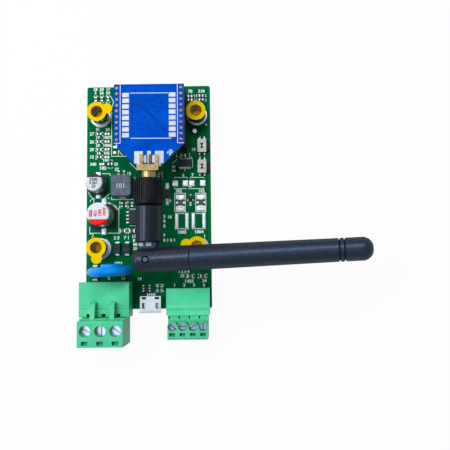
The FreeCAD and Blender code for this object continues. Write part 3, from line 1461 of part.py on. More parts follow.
        cage_spot = (x, screw_y, f"{TOP} + {cage_z} - {cage_tall} / 2")
        cage_box = block(f"{side}_cage_box_{place}", (cage, cage, cage_tall), cage_spot)
        sleeve_start, sleeve_end = f"({screw_y} + {cage} / 2)", f"({nose} - 0.3)"
        sleeve_box = block(
            f"{side}_sleeve_box_{place}",
            (sleeve, f"{sleeve_end} - {sleeve_start}", sleeve),
            (x, f"({sleeve_start} + {sleeve_end}) / 2", f"{TOP} + {level} - {sleeve} / 2"),
        )
        wire_way = block(
            f"{side}_wire_way_{place}",
            (f"{cage} - 2 * contact_wall", cage, f"{cage_tall} - 2 * contact_wall"),
            (x, f"{screw_y} - contact_wall", f"{TOP} + {cage_z} - {cage_tall} / 2 + contact_wall"),
        )
        bore_side = f"{side}_pin + 2 * turn_gap"
        pin_way = block(
            f"{side}_pin_way_{place}",
            (bore_side, f"{sleeve_end} - {sleeve_start} + 1", bore_side),
            (x, f"({sleeve_start} + {sleeve_end} + 1) / 2 - 0.5", f"{TOP} + {level} - ({bore_side}) / 2"),
        )
        screw_way = rod(
            f"{side}_screw_way_{place}",
            f"{across} * 0.6 + 2 * cage_gap",
            "contact_wall * 2",
            (x, screw_y, f"{TOP} + {cage_z} + {cage_tall} / 2 - contact_wall * 1.5"),
        )
        solid = fused(f"{side}_cage_solid_{place}", [cage_box, sleeve_box])
        hollow = fused(f"{side}_cage_hollow_{place}", [wire_way, pin_way, screw_way])
        cages.append(less(f"{side}_cage_{place}", solid, hollow))
    keep(group(f"{side}_screws_group", screws), f"{side}_screws")
    keep(group(f"{side}_cages_group", cages), f"{side}_cages")
    return body


def powerPlug():
    body = plug("power")
    face = POWER_FACE_Y
    # two latch fingers that lie on the header's roof
    fingers = newSketch(body, "power_finger", "YZ_Plane", "-2.5")
    roof = "(power_header_tall + plug_gap)"
    outline(
        fingers,
        [
            (f"{face} + 5.1", roof),
            (f"{face} - 0.9", roof),
            (f"{face} - 0.9", "12.2"),
            (f"{face} + 4.2", "11.1"),
            (f"{face} + 5.1", "10.0"),
        ],
    )
    finger = pad(body, fingers, "1.6", reverse=True)
    row(body, "power_fingers", [finger], "2", "6.6")
    soften(body, "power_plug_back", "Fillet", ridge(body, f"{face} - 0.75", "power_plug_tall"), "0.6")
    # slots in the nose below the notches of the header's roof
    slots = newSketch(body, "power_nose_slots", "XY_Plane", "power_header_tall - power_wall")
    for place in range(count("power_poles")):
        rectangle(slots, f"({place} - 1) * power_pitch - 0.1", f"{face} + 0.6", "1.5", "1.2")
    pocket(body, slots, "1.8")
    keep(placed(body, "power_x", "0"), "power_plug")


def signalPlug():
    body = plug("signal")
    front = f"({FOOT} - signal_overhang - signal_plug_deep)"
    soften(body, "signal_plug_lip", "Chamfer", ridge(body, front, "signal_plug_tall"), "0.5")
    keep(placed(body, "signal_x", "0"), "signal_plug")


carrierBoard()
boardLands()
spacers()
radioBoard()
edgeConnector()
couplingNut()
antennaFoot()
antennaArm()
roundCapacitors()
inductor()
chips()
diodes()
chipParts()
varistor()
switches()
usbSocket()
header("power")
header("signal")
powerPlug()
signalPlug()
doc.recompute()

for thing in doc.Objects:
    if "Invalid" in thing.State or "Error" in thing.State:
        raise RuntimeError(f"{thing.Name} did not build: {thing.State}")
os.makedirs("parts", exist_ok=True)
for piece in pieces:
    if piece.Shape.isNull() or not piece.Shape.isValid():
        raise RuntimeError(f"{piece.Label} has no valid shape")
    piece.Shape.exportStep(f"parts/{piece.Label}.step")
print(len(pieces), "pieces written")
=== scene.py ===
import math

import bmesh
import bpy
from mathutils import Matrix, Vector


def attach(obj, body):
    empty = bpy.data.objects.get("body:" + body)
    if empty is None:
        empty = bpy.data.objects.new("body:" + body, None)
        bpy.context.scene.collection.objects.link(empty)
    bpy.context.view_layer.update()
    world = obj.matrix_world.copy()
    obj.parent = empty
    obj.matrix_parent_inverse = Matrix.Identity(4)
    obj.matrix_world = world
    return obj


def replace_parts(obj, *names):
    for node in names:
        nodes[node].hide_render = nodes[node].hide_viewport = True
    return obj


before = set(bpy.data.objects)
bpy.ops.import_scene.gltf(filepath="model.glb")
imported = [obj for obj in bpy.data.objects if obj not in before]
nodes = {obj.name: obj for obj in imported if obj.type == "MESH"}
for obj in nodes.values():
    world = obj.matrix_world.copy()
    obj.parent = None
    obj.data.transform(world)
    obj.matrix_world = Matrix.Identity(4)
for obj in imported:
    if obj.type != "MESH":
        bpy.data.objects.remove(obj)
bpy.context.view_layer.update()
scene = bpy.context.scene
mm = 0.001
print("stage: frame loaded,", len(nodes), "nodes")


# meshes are built in millimetres and scaled once
def newPiece(name, mesh, finish, body="board"):
    piece = bpy.data.objects.new(name, mesh)
    scene.collection.objects.link(piece)
    mesh.materials.clear()
    mesh.materials.append(finish)
    if body:
        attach(piece, body)
    return piece


def plainMesh(name, shape):
    bmesh.ops.recalc_face_normals(shape, faces=shape.faces)
    bmesh.ops.scale(shape, vec=(mm, mm, mm), verts=shape.verts)
    mesh = bpy.data.meshes.new(name)
    shape.to_mesh(mesh)
    shape.free()
    return mesh


def meshOf(name, build):
    shape = bmesh.new()
    build(shape)
    return plainMesh(name, shape)


def bridge(shape, rows, closed):
    # joins rows of four corners into a bar with two ends, or into a ring
    count = len(rows)
    for step in range(count if closed else count - 1):
        one, two = rows[step], rows[(step + 1) % count]
        for corner in range(4):
            following = (corner + 1) % 4
            shape.faces.new((one[corner], one[following], two[following], two[corner]))
    if not closed:
        shape.faces.new(rows[0])
        shape.faces.new(rows[-1])


def ribbon(shape, points, wide, low, high, closed=False):
    # a flat printed line with mitred corners
    sharpest = 0.35
    points = [Vector(point) for point in points]
    count = len(points)
    rows = []
    for step, here in enumerate(points):
        before = points[step - 1] if closed or step > 0 else None
        after = points[(step + 1) % count] if closed or step < count - 1 else None
        ways = [(here - before).normalized()] if before is not None else []
        ways += [(after - here).normalized()] if after is not None else []
        sides = [Vector((-way.y, way.x)) for way in ways]
        side = (sides[0] + sides[-1]).normalized()
        reach = side * (wide / 2 / max(sharpest, side.dot(sides[0])))
        corners = ((here + reach, low), (here - reach, low), (here - reach, high), (here + reach, high))
        rows.append([shape.verts.new((spot.x, spot.y, level)) for spot, level in corners])
    bridge(shape, rows, closed)


def arc(x, y, radius, start, end, steps=16):
    turns = [math.radians(start + (end - start) * step / steps) for step in range(steps + 1)]
    return [(x + radius * math.cos(turn), y + radius * math.sin(turn)) for turn in turns]


def disc(shape, x, y, radius, low, high, sides=16):
    outline = arc(x, y, radius, 0, 360, sides)[:-1]
    bottom, top = [[shape.verts.new((*spot, level)) for spot in outline] for level in (low, high)]
    shape.faces.new(bottom)
    shape.faces.new(top)
    for step in range(sides):
        following = (step + 1) % sides
        shape.faces.new((bottom[step], bottom[following], top[following], top[step]))


def numberMesh(entries, low, thick, bold):
    # plain numbers: text, x, y, height of the digits, and a turn in degrees where it isn't 0
    sizePerHeight, weld = 1.42, 0.0005
    whole = bmesh.new()
    for text, x, y, tall, *turn in entries:
        font = bpy.data.curves.new("digits", "FONT")
        font.body = text
        font.size = tall * sizePerHeight
        font.align_x = "CENTER"
        font.align_y = "CENTER"
        font.extrude = thick / 2
        font.offset = tall * bold
        font.resolution_u = 2
        holder = bpy.data.objects.new("digits", font)
        scene.collection.objects.link(holder)
        flat = bpy.data.meshes.new_from_object(holder.evaluated_get(bpy.context.evaluated_depsgraph_get()))
        about = Matrix.Rotation(math.radians(sum(turn)), 4, "Z")
        flat.transform(Matrix.Translation((x, y, low + thick / 2)) @ about)
        whole.from_mesh(flat)
        bpy.data.objects.remove(holder)
        bpy.data.curves.remove(font)
        bpy.data.meshes.remove(flat)
    bmesh.ops.remove_doubles(whole, verts=whole.verts, dist=weld)
    return plainMesh("numbers", whole)


def lay(name, finish, build):
    return newPiece(name, meshOf(name, build), finishes[finish])


def layNumbers(name, finish, look):
    newPiece(name, numberMesh(look["numbers"], look["low"], look["high"] - look["low"], look["bold"]),
             finishes[finish])


def ribbons(shape, lines, wide, low, high, closed=False):
    for points in lines:
        ribbon(shape, points, wide, low, high, closed)


def layLines(name, finish, lines, wide, low, high):
    lay(name, finish, lambda shape: ribbons(shape, lines, wide, low, high))


# short words for shader and geometry nodes
def put(tree, kind, inputs=(), **settings):
    # a new node with its settings; an input takes a link from a socket, or a plain value
    node = tree.nodes.new(kind)
    for label, value in settings.items():
        setattr(node, label, value)
    for label, value in dict(inputs).items():
        if isinstance(value, bpy.types.NodeSocket):
            tree.links.new(value, node.inputs[label])
        else:
            node.inputs[label].default_value = value
    return node


def calc(tree, operation, *values, clamp=False):
    return put(tree, "ShaderNodeMath", enumerate(values), operation=operation, use_clamp=clamp).outputs[0]


def times(tree, *values, clamp=False):
    # the product of all values, with the last step clamped if asked
    product = values[0]
    for place, value in enumerate(values[1:], 2):
        product = calc(tree, "MULTIPLY", product, value, clamp=clamp and place == len(values))
    return product


def less(tree, first, second, clamp=False):
    return calc(tree, "SUBTRACT", first, second, clamp=clamp)


def distance(tree, across, along):
    return calc(tree, "SQRT", calc(tree, "ADD", times(tree, across, across), times(tree, along, along)))


def splitPlace(tree, vector):
    return tuple(put(tree, "ShaderNodeSeparateXYZ", {0: vector}).outputs)


def objectPlace(tree, shift=(0, 0, 0), scale=(1, 1, 1), turn=0.0):
    # the place on the object in metres; shift is in millimetres, and turn in degrees about Y
    place = put(tree, "ShaderNodeTexCoord").outputs["Object"]
    moved = {"Location": [value * mm for value in shift], "Scale": scale,
             "Rotation": (0, math.radians(turn), 0)}
    return put(tree, "ShaderNodeMapping", {"Vector": place, **moved}).outputs["Vector"]


def noise(tree, place, scale, detail=2.0, rough=0.5):
    given = {"Vector": place, "Scale": scale, "Detail": detail, "Roughness": rough}
    return put(tree, "ShaderNodeTexNoise", given).outputs["Fac"]


def ranged(tree, value, start, end, low=0.0, high=1.0):
    given = {"Value": value, "From Min": start, "From Max": end, "To Min": low, "To Max": high}
    return put(tree, "ShaderNodeMapRange", given).outputs["Result"]


def spread(tree, value, low=0.0, high=1.0):
    # noise stays between about 0.3 and 0.7, and is stretched to the wanted range
    return ranged(tree, value, 0.3, 0.7, low, high)


def within(tree, value, low, high, soft=0.04, unit=mm):
    # 1 between two places in millimetres, with a short soft step at each
    low, high, soft = low * unit, high * unit, soft * unit
    rise = ranged(tree, value, low - soft, low + soft)
    return times(tree, rise, ranged(tree, value, high + soft, high - soft))


def shade(tone):
    # a colour picked on a screen, made linear
    steps = [step / 255 for step in tone]
    return (*(step / 12.92 if step <= 0.04045 else ((step + 0.055) / 1.055) ** 2.4 for step in steps), 1.0)


def mixColour(tree, share, under, over):
    # both colours are links or screen tones; a colour mix takes them at its inputs 6 and 7
    under, over = [shade(tone) if isinstance(tone, tuple) else tone for tone in (under, over)]
    return put(tree, "ShaderNodeMix", {0: share, 6: under, 7: over}, data_type="RGBA").outputs[2]


def facing(tree):
    return put(tree, "ShaderNodeNewGeometry").outputs["Normal"]


# effects that several finishes share
def shaderGroup(name, inputs, outputs):
    tree = bpy.data.node_groups.new(name, "ShaderNodeTree")
    for label, value in inputs.items():
        socket = tree.interface.new_socket(name=label, in_out="INPUT", socket_type="NodeSocketFloat")
        socket.default_value = value
    for label in outputs:
        tree.interface.new_socket(name=label, in_out="OUTPUT", socket_type="NodeSocketFloat")
    return tree, tree.nodes.new("NodeGroupInput").outputs


def makeGrainGroup():
    # moulded or etched grain: a height for bumps and a tone for colour, both about 0 to 1
    fineShare = 0.35
    tree, given = shaderGroup("fineGrain", {"Scale": 3000.0, "Blotch": 120.0}, ("Height", "Tone"))
    place = objectPlace(tree)
    fine = noise(tree, place, given["Scale"], detail=3.0, rough=0.6)
    broad = noise(tree, place, given["Blotch"])
    tone = calc(tree, "MULTIPLY_ADD", fine, fineShare, times(tree, broad, 1 - fineShare))
    put(tree, "NodeGroupOutput", {"Height": fine, "Tone": tone})
    return tree


def makeEdgeGroup():
    # where an edge is handled or rubbed: rounded normal against the flat one, broken up by noise
    gain, breakScale = 9.0, 900.0
    tree, given = shaderGroup("edgeWear", {"Radius": 0.0002, "Amount": 1.0}, ("Mask",))
    rounded = put(tree, "ShaderNodeBevel", {"Radius": given["Radius"]}, samples=4).outputs["Normal"]
    likeness = put(tree, "ShaderNodeVectorMath", {0: rounded, 1: facing(tree)}, operation="DOT_PRODUCT")
    bend = less(tree, 1.0, likeness.outputs["Value"])
    broken = noise(tree, objectPlace(tree), breakScale, detail=3.0, rough=0.6)
    put(tree, "NodeGroupOutput", {"Mask": times(tree, bend, gain, broken, given["Amount"], clamp=True)})
    return tree


def makeDustGroup():
    # fine dust that lies on faces turned upwards
    bareBelow, gain, flatness = 0.52, 4.0, 3.0
    tree, given = shaderGroup("topDust", {"Amount": 0.1, "Scale": 700.0}, ("Mask",))
    up = calc(tree, "MAXIMUM", splitPlace(tree, facing(tree))[2], 0.0)
    specks = noise(tree, objectPlace(tree), given["Scale"], detail=4.0, rough=0.7)
    sparse = less(tree, specks, bareBelow, clamp=True)
    lying = times(tree, calc(tree, "POWER", up, flatness), sparse, gain, given["Amount"], clamp=True)
    put(tree, "NodeGroupOutput", {"Mask": lying})
    return tree


def makeCreviceShadeGroup():
    # painted shade: a mask for darkening where faces stand close together and little light gets in
    tree, given = shaderGroup("crevices", {"Reach": 0.0004, "Amount": 0.5}, ("Mask",))
    light = put(tree, "ShaderNodeAmbientOcclusion", {"Distance": given["Reach"]}, samples=12).outputs["AO"]
    put(tree, "NodeGroupOutput", {"Mask": times(tree, less(tree, 1.0, light), given["Amount"], clamp=True)})
    return tree


grainGroup, edgeGroup = makeGrainGroup(), makeEdgeGroup()
dustGroup, creviceGroup = makeDustGroup(), makeCreviceShadeGroup()
print("stage: shader groups built")


def useGroup(tree, group, **values):
    return put(tree, "ShaderNodeGroup", values, node_tree=group).outputs


def overlay(tree, colour, group, tone, **values):
    # lays a tone where a group's mask says
    return mixColour(tree, useGroup(tree, group, **values)["Mask"], colour, tone)


finishes = {}
# what a look says of a finish, if it says nothing else
plainLook = {
    "metallic": 0.0, "specular": 0.5, "tint": (255, 255, 255), "coat": 0.0, "coatRough": 0.15,
    "grain": 2600.0, "blotch": 150.0, "sway": 0.05, "relief": 0.3, "deep": 0.00002,
    "worn": None, "wear": 0.4, "edge": 0.00015, "dust": 0.0, "dustTone": (196, 196, 190), "grazing": 0.0,
    "crevice": 0.0, "creviceReach": 0.0004, "creviceTone": (8, 10, 14),
}


def newFinish(name, look):
    # a material with plain values and the grain that every finish uses
    look = {**plainLook, **look}
    finish = bpy.data.materials.new(name)
    finish.use_nodes = True
    tree = finish.node_tree
    shader = tree.nodes["Principled BSDF"]
    plain = {"Roughness": look["roughness"], "Metallic": look["metallic"],
             "Specular IOR Level": look["specular"], "Specular Tint": shade(look["tint"]),
             "Coat Weight": look["coat"], "Coat Roughness": look["coatRough"]}
    for label, value in plain.items():
        shader.inputs[label].default_value = value
    finishes[name] = finish
    grain = useGroup(tree, grainGroup, Scale=look["grain"], Blotch=look["blotch"])
    return look, tree, shader.inputs, grain


def tones(tree, value, dark, light):
    return mixColour(tree, spread(tree, value), dark, light)


def sways(tree, value, look):
    # roughness that follows the grain, by as much less and more as the look says
    below, above = look["sway"] if isinstance(look["sway"], tuple) else (look["sway"],) * 2
    return spread(tree, value, look["roughness"] - below, look["roughness"] + above)


def finishOff(tree, skin, look, colour, rough, height):
    for label, value in (("Base Color", colour), ("Roughness", rough)):
        tree.links.new(value, skin[label])
    bumps = {"Strength": look["relief"], "Distance": look["deep"], "Height": height}
    relief = put(tree, "ShaderNodeBump", bumps)
    tree.links.new(relief.outputs["Normal"], skin["Normal"])


def plainFinish(name, look, marks=None):
    # a moulded, painted or plated skin: two tones, rubbed edges, painted shade in crevices, dust, and marks
    # by place, some of them painted shade and painted highlights
    look, tree, skin, grain = newFinish(name, look)
    colour = tones(tree, grain["Tone"], look["dark"], look["light"])
    if look["worn"]:
        colour = overlay(tree, colour, edgeGroup, look["worn"], Radius=look["edge"], Amount=look["wear"])
    # painted shade: colour darkened towards the crevice tone where little light gets in
    if look["crevice"]:
        colour = overlay(tree, colour, creviceGroup, look["creviceTone"],
                         Reach=look["creviceReach"], Amount=look["crevice"])
    if look["dust"]:
        colour = overlay(tree, colour, dustGroup, look["dustTone"], Amount=look["dust"])
    rough = sways(tree, grain["Height"], look)
    for mask, tone in (marks(tree) if marks else ()):
        colour = mixColour(tree, mask, colour, tone)
        if tone == swing["gapShadeTone"]:   # a gap doesn't shine
            rough = calc(tree, "MAXIMUM", rough, mask)

    if look["grazing"]:
        # fine moulding grain dulls the shine where the surface turns away
        away = put(tree, "ShaderNodeLayerWeight").outputs["Facing"]
        rough = calc(tree, "MAXIMUM", rough, times(tree, away, look["grazing"]))
    finishOff(tree, skin, look, colour, rough, grain["Height"])


def twoTone(dark, light, roughness, **more):
    return {"dark": dark, "light": light, "roughness": roughness, **more}


looks = {
    "tin": twoTone((156, 163, 174), (200, 206, 215), 0.38, sway=0.1, metallic=0.8, blotch=700, relief=0.35,
        deep=0.00004),
    "padTin": twoTone((180, 188, 200), (222, 227, 235), 0.42, sway=0.12, metallic=0.6, blotch=700,
        relief=0.4, deep=0.00005),
    "moduleTin": twoTone((166, 173, 184), (196, 202, 211), 0.5, sway=0.1, metallic=0.3, specular=0.2,
        blotch=900, relief=0.4, deep=0.00004),
    "tinLead": twoTone((148, 156, 168), (196, 203, 213), 0.32, sway=0.08, metallic=0.8, grain=2200,
        relief=0.2),
    "gold": twoTone((110, 94, 58), (142, 125, 88), 0.27, sway=0.07, metallic=1, grain=1900, blotch=260,
        relief=0.22, worn=(206, 186, 136), wear=0.5, crevice=0.6, creviceTone=(52, 36, 12)),
    # the module pins' ends are dark bronze, dark partly as painted shade for the hollow seen at each pin's
    # end
    "pinBronzeShade": twoTone((58, 42, 28), (110, 84, 56), 0.25, sway=0.08, metallic=1, grain=3200,
        blotch=1500),
    "pinSolder": twoTone((140, 128, 112), (214, 206, 192), 0.2, sway=0.08, metallic=1, blotch=1300,
        relief=0.5, deep=0.00005),
    "spring": twoTone((166, 128, 66), (204, 168, 100), 0.3, metallic=1, grain=2400, relief=0.25),
    "steel": twoTone((132, 138, 148), (186, 192, 202), 0.28, sway=0.08, metallic=1, grain=2400, blotch=400,
        worn=(224, 230, 238), wear=0.7),
    "screwSteel": twoTone((182, 203, 230), (208, 226, 246), 0.27, sway=0.06, metallic=1, grain=2400,
        blotch=700, crevice=0.8, creviceReach=0.0006, creviceTone=(20, 30, 44)),
    "smallScrewSteel": twoTone((104, 124, 154), (158, 178, 206), 0.3, sway=0.06, metallic=1, grain=2400,
        blotch=900, crevice=1, creviceReach=0.0007, creviceTone=(20, 30, 44)),
    "shellSteel": twoTone((160, 171, 182), (182, 193, 204), 0.28, sway=0.04, metallic=1, grain=900,
        blotch=300, relief=0.12, deep=0.00001, worn=(72, 78, 84), wear=0.6, edge=0.00012, crevice=0.9,
        creviceReach=0.0007, creviceTone=(24, 26, 28)),
    "plateSteel": twoTone((136, 136, 133), (166, 166, 163), 0.46, sway=0.06, metallic=0.6, blotch=500,
        relief=0.25),
    "film": twoTone((246, 200, 0), (255, 222, 2), 0.42, specular=0.03, tint=(255, 210, 30), grain=900,
        blotch=240, relief=0.15, deep=0.00004),
    "armPlastic": twoTone((10, 15, 21), (22, 30, 42), 0.33, sway=0.09, specular=0.44, tint=(178, 212, 255),
        grain=2300, blotch=1300, relief=0.8, deep=0.00005, grazing=1, worn=(92, 108, 130), wear=0.2,
        dust=0.02),
    "knucklePlastic": twoTone((10, 14, 20), (20, 27, 37), 0.22, sway=0.12, specular=0.42,
        tint=(190, 218, 255), grain=2000, blotch=1200, relief=0.9, deep=0.00007, grazing=1,
        worn=(104, 122, 146), wear=0.25, dust=0.03),
    "footPlastic": twoTone((3, 4, 6), (7, 10, 14), 0.2, sway=0.06, specular=0.32, tint=(190, 218, 255),
        blotch=500, relief=0.4, grazing=1, worn=(90, 106, 128), wear=0.3, dust=0.02),
    "nutPlastic": twoTone((2, 3, 4), (5, 6, 9), 0.34, specular=0.1, relief=0.2, grazing=1,
        worn=(92, 104, 122)),
    "blackPlastic": twoTone((10, 13, 16), (20, 24, 29), 0.42, sway=0.08, specular=0.15, grazing=1,
        worn=(74, 82, 92)),
    "chipEpoxy": twoTone((14, 20, 28), (44, 56, 72), 0.45, sway=0.1, specular=0.18, grain=3600, blotch=900,
        relief=0.6, deep=0.00003, worn=(96, 106, 120)),
    "resistorGlaze": twoTone((12, 12, 18), (36, 35, 44), 0.3, coat=0.2, grain=3000, blotch=1400,
        relief=0.2),
    "tanCeramic": twoTone((74, 60, 50), (120, 100, 80), 0.42, grain=3500, blotch=1200),
    "ferrite": twoTone((52, 67, 84), (88, 107, 128), 0.46, sway=0.1, specular=0.3, grain=3200, blotch=800,
        relief=0.8, deep=0.00005, worn=(140, 152, 168)),
    "blueEpoxy": twoTone((0, 122, 226), (0, 160, 255), 0.22, specular=0.14, tint=(150, 210, 255),
        coat=0.05, coatRough=0.06, grain=1200, blotch=160, deep=0.00004),
    "whitePtfe": twoTone((206, 208, 206), (228, 230, 228), 0.55, relief=0.25),
    "lampLens": twoTone((178, 150, 108), (216, 198, 158), 0.34, coat=0.2, grain=2200, relief=0.2),
    "silk": twoTone((222, 248, 242), (248, 255, 254), 0.6, specular=0.2, grain=5200, blotch=900,
        relief=0.4),
    "silkOnBlue": twoTone((216, 228, 250), (244, 249, 255), 0.6, specular=0.2, grain=5200, blotch=900,
        relief=0.4),
    "inkBlack": twoTone((12, 14, 20), (26, 30, 38), 0.5, specular=0.2, grain=5200),
    "inkRed": twoTone((206, 12, 16), (230, 24, 28), 0.5, specular=0.2, grain=5200),
    "inkGrey": twoTone((150, 166, 184), (186, 200, 214), 0.55, grain=5200),
    "traceBlue": twoTone((0, 34, 112), (0, 46, 134), 0.5, specular=0.06, grain=4200),
    "viaBlue": twoTone((0, 52, 150), (0, 62, 172), 0.5, specular=0.03, grain=4200),
    "viaDark": twoTone((0, 30, 20), (0, 46, 30), 0.5, specular=0.06, grain=4200),
}
looks["pinPlastic"] = looks["knucklePlastic"]

# marks on the antenna, painted shade in its gaps and grooves and painted highlights on the hinge pin and the
# tongue's flats, with places counted from the connector's axis in the frame of the raised arm
swing = {
    "turn": 10.5, "shift": (-4.8185, 0.0, -15.298), "pivot": -23.3, "ring": (0.76, 1.33),
    "gaps": ((14.5, 14.85), (62.72, 63.2), (64.32, 64.8)), "gapShadeTone": (4, 5, 7), "pinHighlightTone": (62, 74, 90),
    "flats": ((-3.05, -1.45), (-0.45, 1.35)), "flatTop": (1.6, 1.8), "flatLong": (-18.75, -17.5),
    "flatHighlightTone": (186, 194, 212),
}


def swingPlace(tree):
    return splitPlace(tree, objectPlace(tree, shift=swing["shift"], turn=swing["turn"]))


def hingeRing(tree):
    # painted shade in the gap round the hinge pin, and a painted highlight on the pin's face
    across, along, up = swingPlace(tree)
    away = distance(tree, across, less(tree, along, swing["pivot"] * mm))
    inner, outer = swing["ring"]
    return ((within(tree, away, inner, outer), swing["gapShadeTone"]),
            (within(tree, away, -outer, inner), swing["pinHighlightTone"]))


def tongueFlatHighlights(tree):
    # painted highlight on the flats of the tongue that show between the foot and the arm
    across, along, up = swingPlace(tree)
    strips = [within(tree, across, *flat) for flat in swing["flats"]]
    spot = times(tree, within(tree, up, *swing["flatTop"]), within(tree, along, *swing["flatLong"]),
                 calc(tree, "ADD", *strips))
    return ((spot, swing["flatHighlightTone"]),)


def sleeveGaps(tree):
    # painted shade in the thin gap where the sleeve meets the knuckle, and in the two grooves beside the cap
    across = swingPlace(tree)[0]
    return tuple((within(tree, across, *gap), swing["gapShadeTone"]) for gap in swing["gaps"])


marksOf = {"armPlastic": sleeveGaps, "knucklePlastic": hingeRing, "pinPlastic": hingeRing,
           "footPlastic": tongueFlatHighlights}
for name, look in looks.items():
    plainFinish(name, look, marksOf.get(name))
print("stage: plain finishes,", len(finishes))


# lacquer over copper that stops short of the board's edge, and laminate on the cut sides
boardLook = {
    "roughness": 0.46, "specular": 0.02, "grain": 3800.0, "sway": (0.06, 0.08), "relief": 0.2,
    "rimFrom": -2.0, "lineWide": 0.22, "lineShare": 0.55,
    "layers": 1500.0, "waver": 1.2, "cutBelow": 0.4, "cutSoft": 0.05,
    "dust": 0.002, "dustScale": 1500.0, "dustTone": (180, 205, 190),
}
boardLooks = {
    "carrierLacquer": {
        "dark": (0, 90, 50), "light": (0, 116, 68),
        "rim": (0, 118, 70), "rimShare": 0.75, "line": (0, 66, 38),
        "margin": 1.3, "half": (22.5, 40.5), "middle": (0.0, 0.0), "blotch": 210.0,
        "tint": (70, 190, 130), "cutDark": (60, 120, 70), "cutLight": (150, 176, 116),
    },
    "moduleLacquer": {
        "dark": (0, 70, 188), "light": (0, 92, 220),
        "rim": (0, 88, 212), "rimShare": 0.4, "line": (0, 60, 168),
        "margin": 0.4, "half": (12.05, 13.9), "middle": (1.95, 23.2), "blotch": 170.0,
        "tint": (90, 150, 255), "cutDark": (40, 74, 120), "cutLight": (126, 140, 140),
    },
}


def offMiddle(tree, value, middle, half):
    # how far past half a width a place lies from a middle, in metres
    return less(tree, calc(tree, "ABSOLUTE", less(tree, value, middle * mm)), half * mm)


def boardFinish(name, look):
    look, tree, skin, grain = newFinish(name, look)
    colour = tones(tree, grain["Tone"], look["dark"], look["light"])
    sides = zip(splitPlace(tree, objectPlace(tree)), look["middle"], look["half"])
    past = [offMiddle(tree, *side) for side in sides]
    rim = times(tree, calc(tree, "MAXIMUM", *past), -1.0)
    margin, lineEnd = look["margin"], look["margin"] + look["lineWide"]
    bare = times(tree, within(tree, rim, look["rimFrom"], margin), look["rimShare"])
    line = times(tree, within(tree, rim, margin, lineEnd), look["lineShare"])
    colour = mixColour(tree, line, mixColour(tree, bare, colour, look["rim"]), look["line"])
    upright = calc(tree, "ABSOLUTE", splitPlace(tree, facing(tree))[2])
    cloth = put(tree, "ShaderNodeTexWave", {"Vector": objectPlace(tree), "Scale": look["layers"],
                                            "Distortion": look["waver"]}, bands_direction="Z")
    cut = mixColour(tree, cloth.outputs["Fac"], look["cutDark"], look["cutLight"])
    sawn = within(tree, upright, -1.0, look["cutBelow"], look["cutSoft"], unit=1.0)
    colour = mixColour(tree, sawn, colour, cut)
    colour = overlay(tree, colour, dustGroup, look["dustTone"], Amount=look["dust"], Scale=look["dustScale"])
    finishOff(tree, skin, look, colour, sways(tree, grain["Tone"], look), grain["Height"])


for name, look in boardLooks.items():
    boardFinish(name, {**boardLook, **look})


# spacers: plated outside, and pale where light comes through the film into the bore
spacerLook = {
    "dark": (140, 152, 146), "light": (176, 187, 180),
    "boreDark": (150, 150, 140), "boreLight": (196, 196, 186),
    "roughness": 0.14, "sway": 0.04, "grain": 600.0, "blotch": 220.0, "relief": 0.1, "deep": 0.00001,
    "boreReach": 2.3, "boreShare": 0.9, "middle": (0.07, 5.43), "half": (17.6, 24.1),
}


def spacerFinish(name, look):
    look, tree, skin, grain = newFinish(name, look)
    sides = zip(splitPlace(tree, objectPlace(tree)), look["middle"], look["half"])
    off = [offMiddle(tree, *side) for side in sides]
    inside = within(tree, distance(tree, *off), -look["boreReach"], look["boreReach"])
    metal = tones(tree, grain["Tone"], look["dark"], look["light"])
    bore = tones(tree, grain["Tone"], look["boreDark"], look["boreLight"])
    tree.links.new(less(tree, 1.0, times(tree, inside, look["boreShare"])), skin["Metallic"])
    colour = mixColour(tree, inside, metal, bore)
    finishOff(tree, skin, look, colour, sways(tree, grain["Height"], look), grain["Height"])


spacerFinish("spacerPlating", spacerLook)


# aluminium cans: drawn side, and a painted top with one coloured segment
canLook = {
    "dark": (176, 184, 188), "light": (222, 228, 232),
    "roughness": 0.27, "sway": (0.03, 0.05), "specular": 0.2,
    "blotch": 300.0, "drawLines": (1, 1, 90), "drawScale": 60.0, "relief": 0.05, "deep": 0.00001, "rim": 0.42,
}
canLooks = {
    "smallCan": {"middle": (-18.35, 4.2), "top": 9.3, "segment": (1.75, 9.0), "ink": (14, 16, 24),
                 "lidDark": (206, 216, 226), "lidLight": (228, 236, 244)},
    "largeCan": {"middle": (-16.2, -7.2), "top": 11.8, "segment": (-9.0, -1.85), "ink": (250, 12, 16),
                 "lidDark": (214, 224, 238), "lidLight": (234, 242, 252)},
}


def canFinish(name, look):
    look, tree, skin, grain = newFinish(name, look)
    x, y = look["middle"]
    across, along, up = splitPlace(tree, objectPlace(tree, shift=(-x, -y, 0)))
    top = within(tree, up, look["top"] - look["rim"], look["top"] * 2)
    segment = times(tree, top, within(tree, along, *look["segment"]))
    drawn = noise(tree, objectPlace(tree, scale=look["drawLines"]), look["drawScale"])
    side = tones(tree, drawn, look["dark"], look["light"])
    lid = tones(tree, grain["Tone"], look["lidDark"], look["lidLight"])
    colour = mixColour(tree, segment, mixColour(tree, top, side, lid), look["ink"])
    tree.links.new(less(tree, 1.0, top), skin["Metallic"])
    finishOff(tree, skin, look, colour, sways(tree, grain["Height"], look), drawn)


for name, look in canLooks.items():
    canFinish(name, {**canLook, **look})


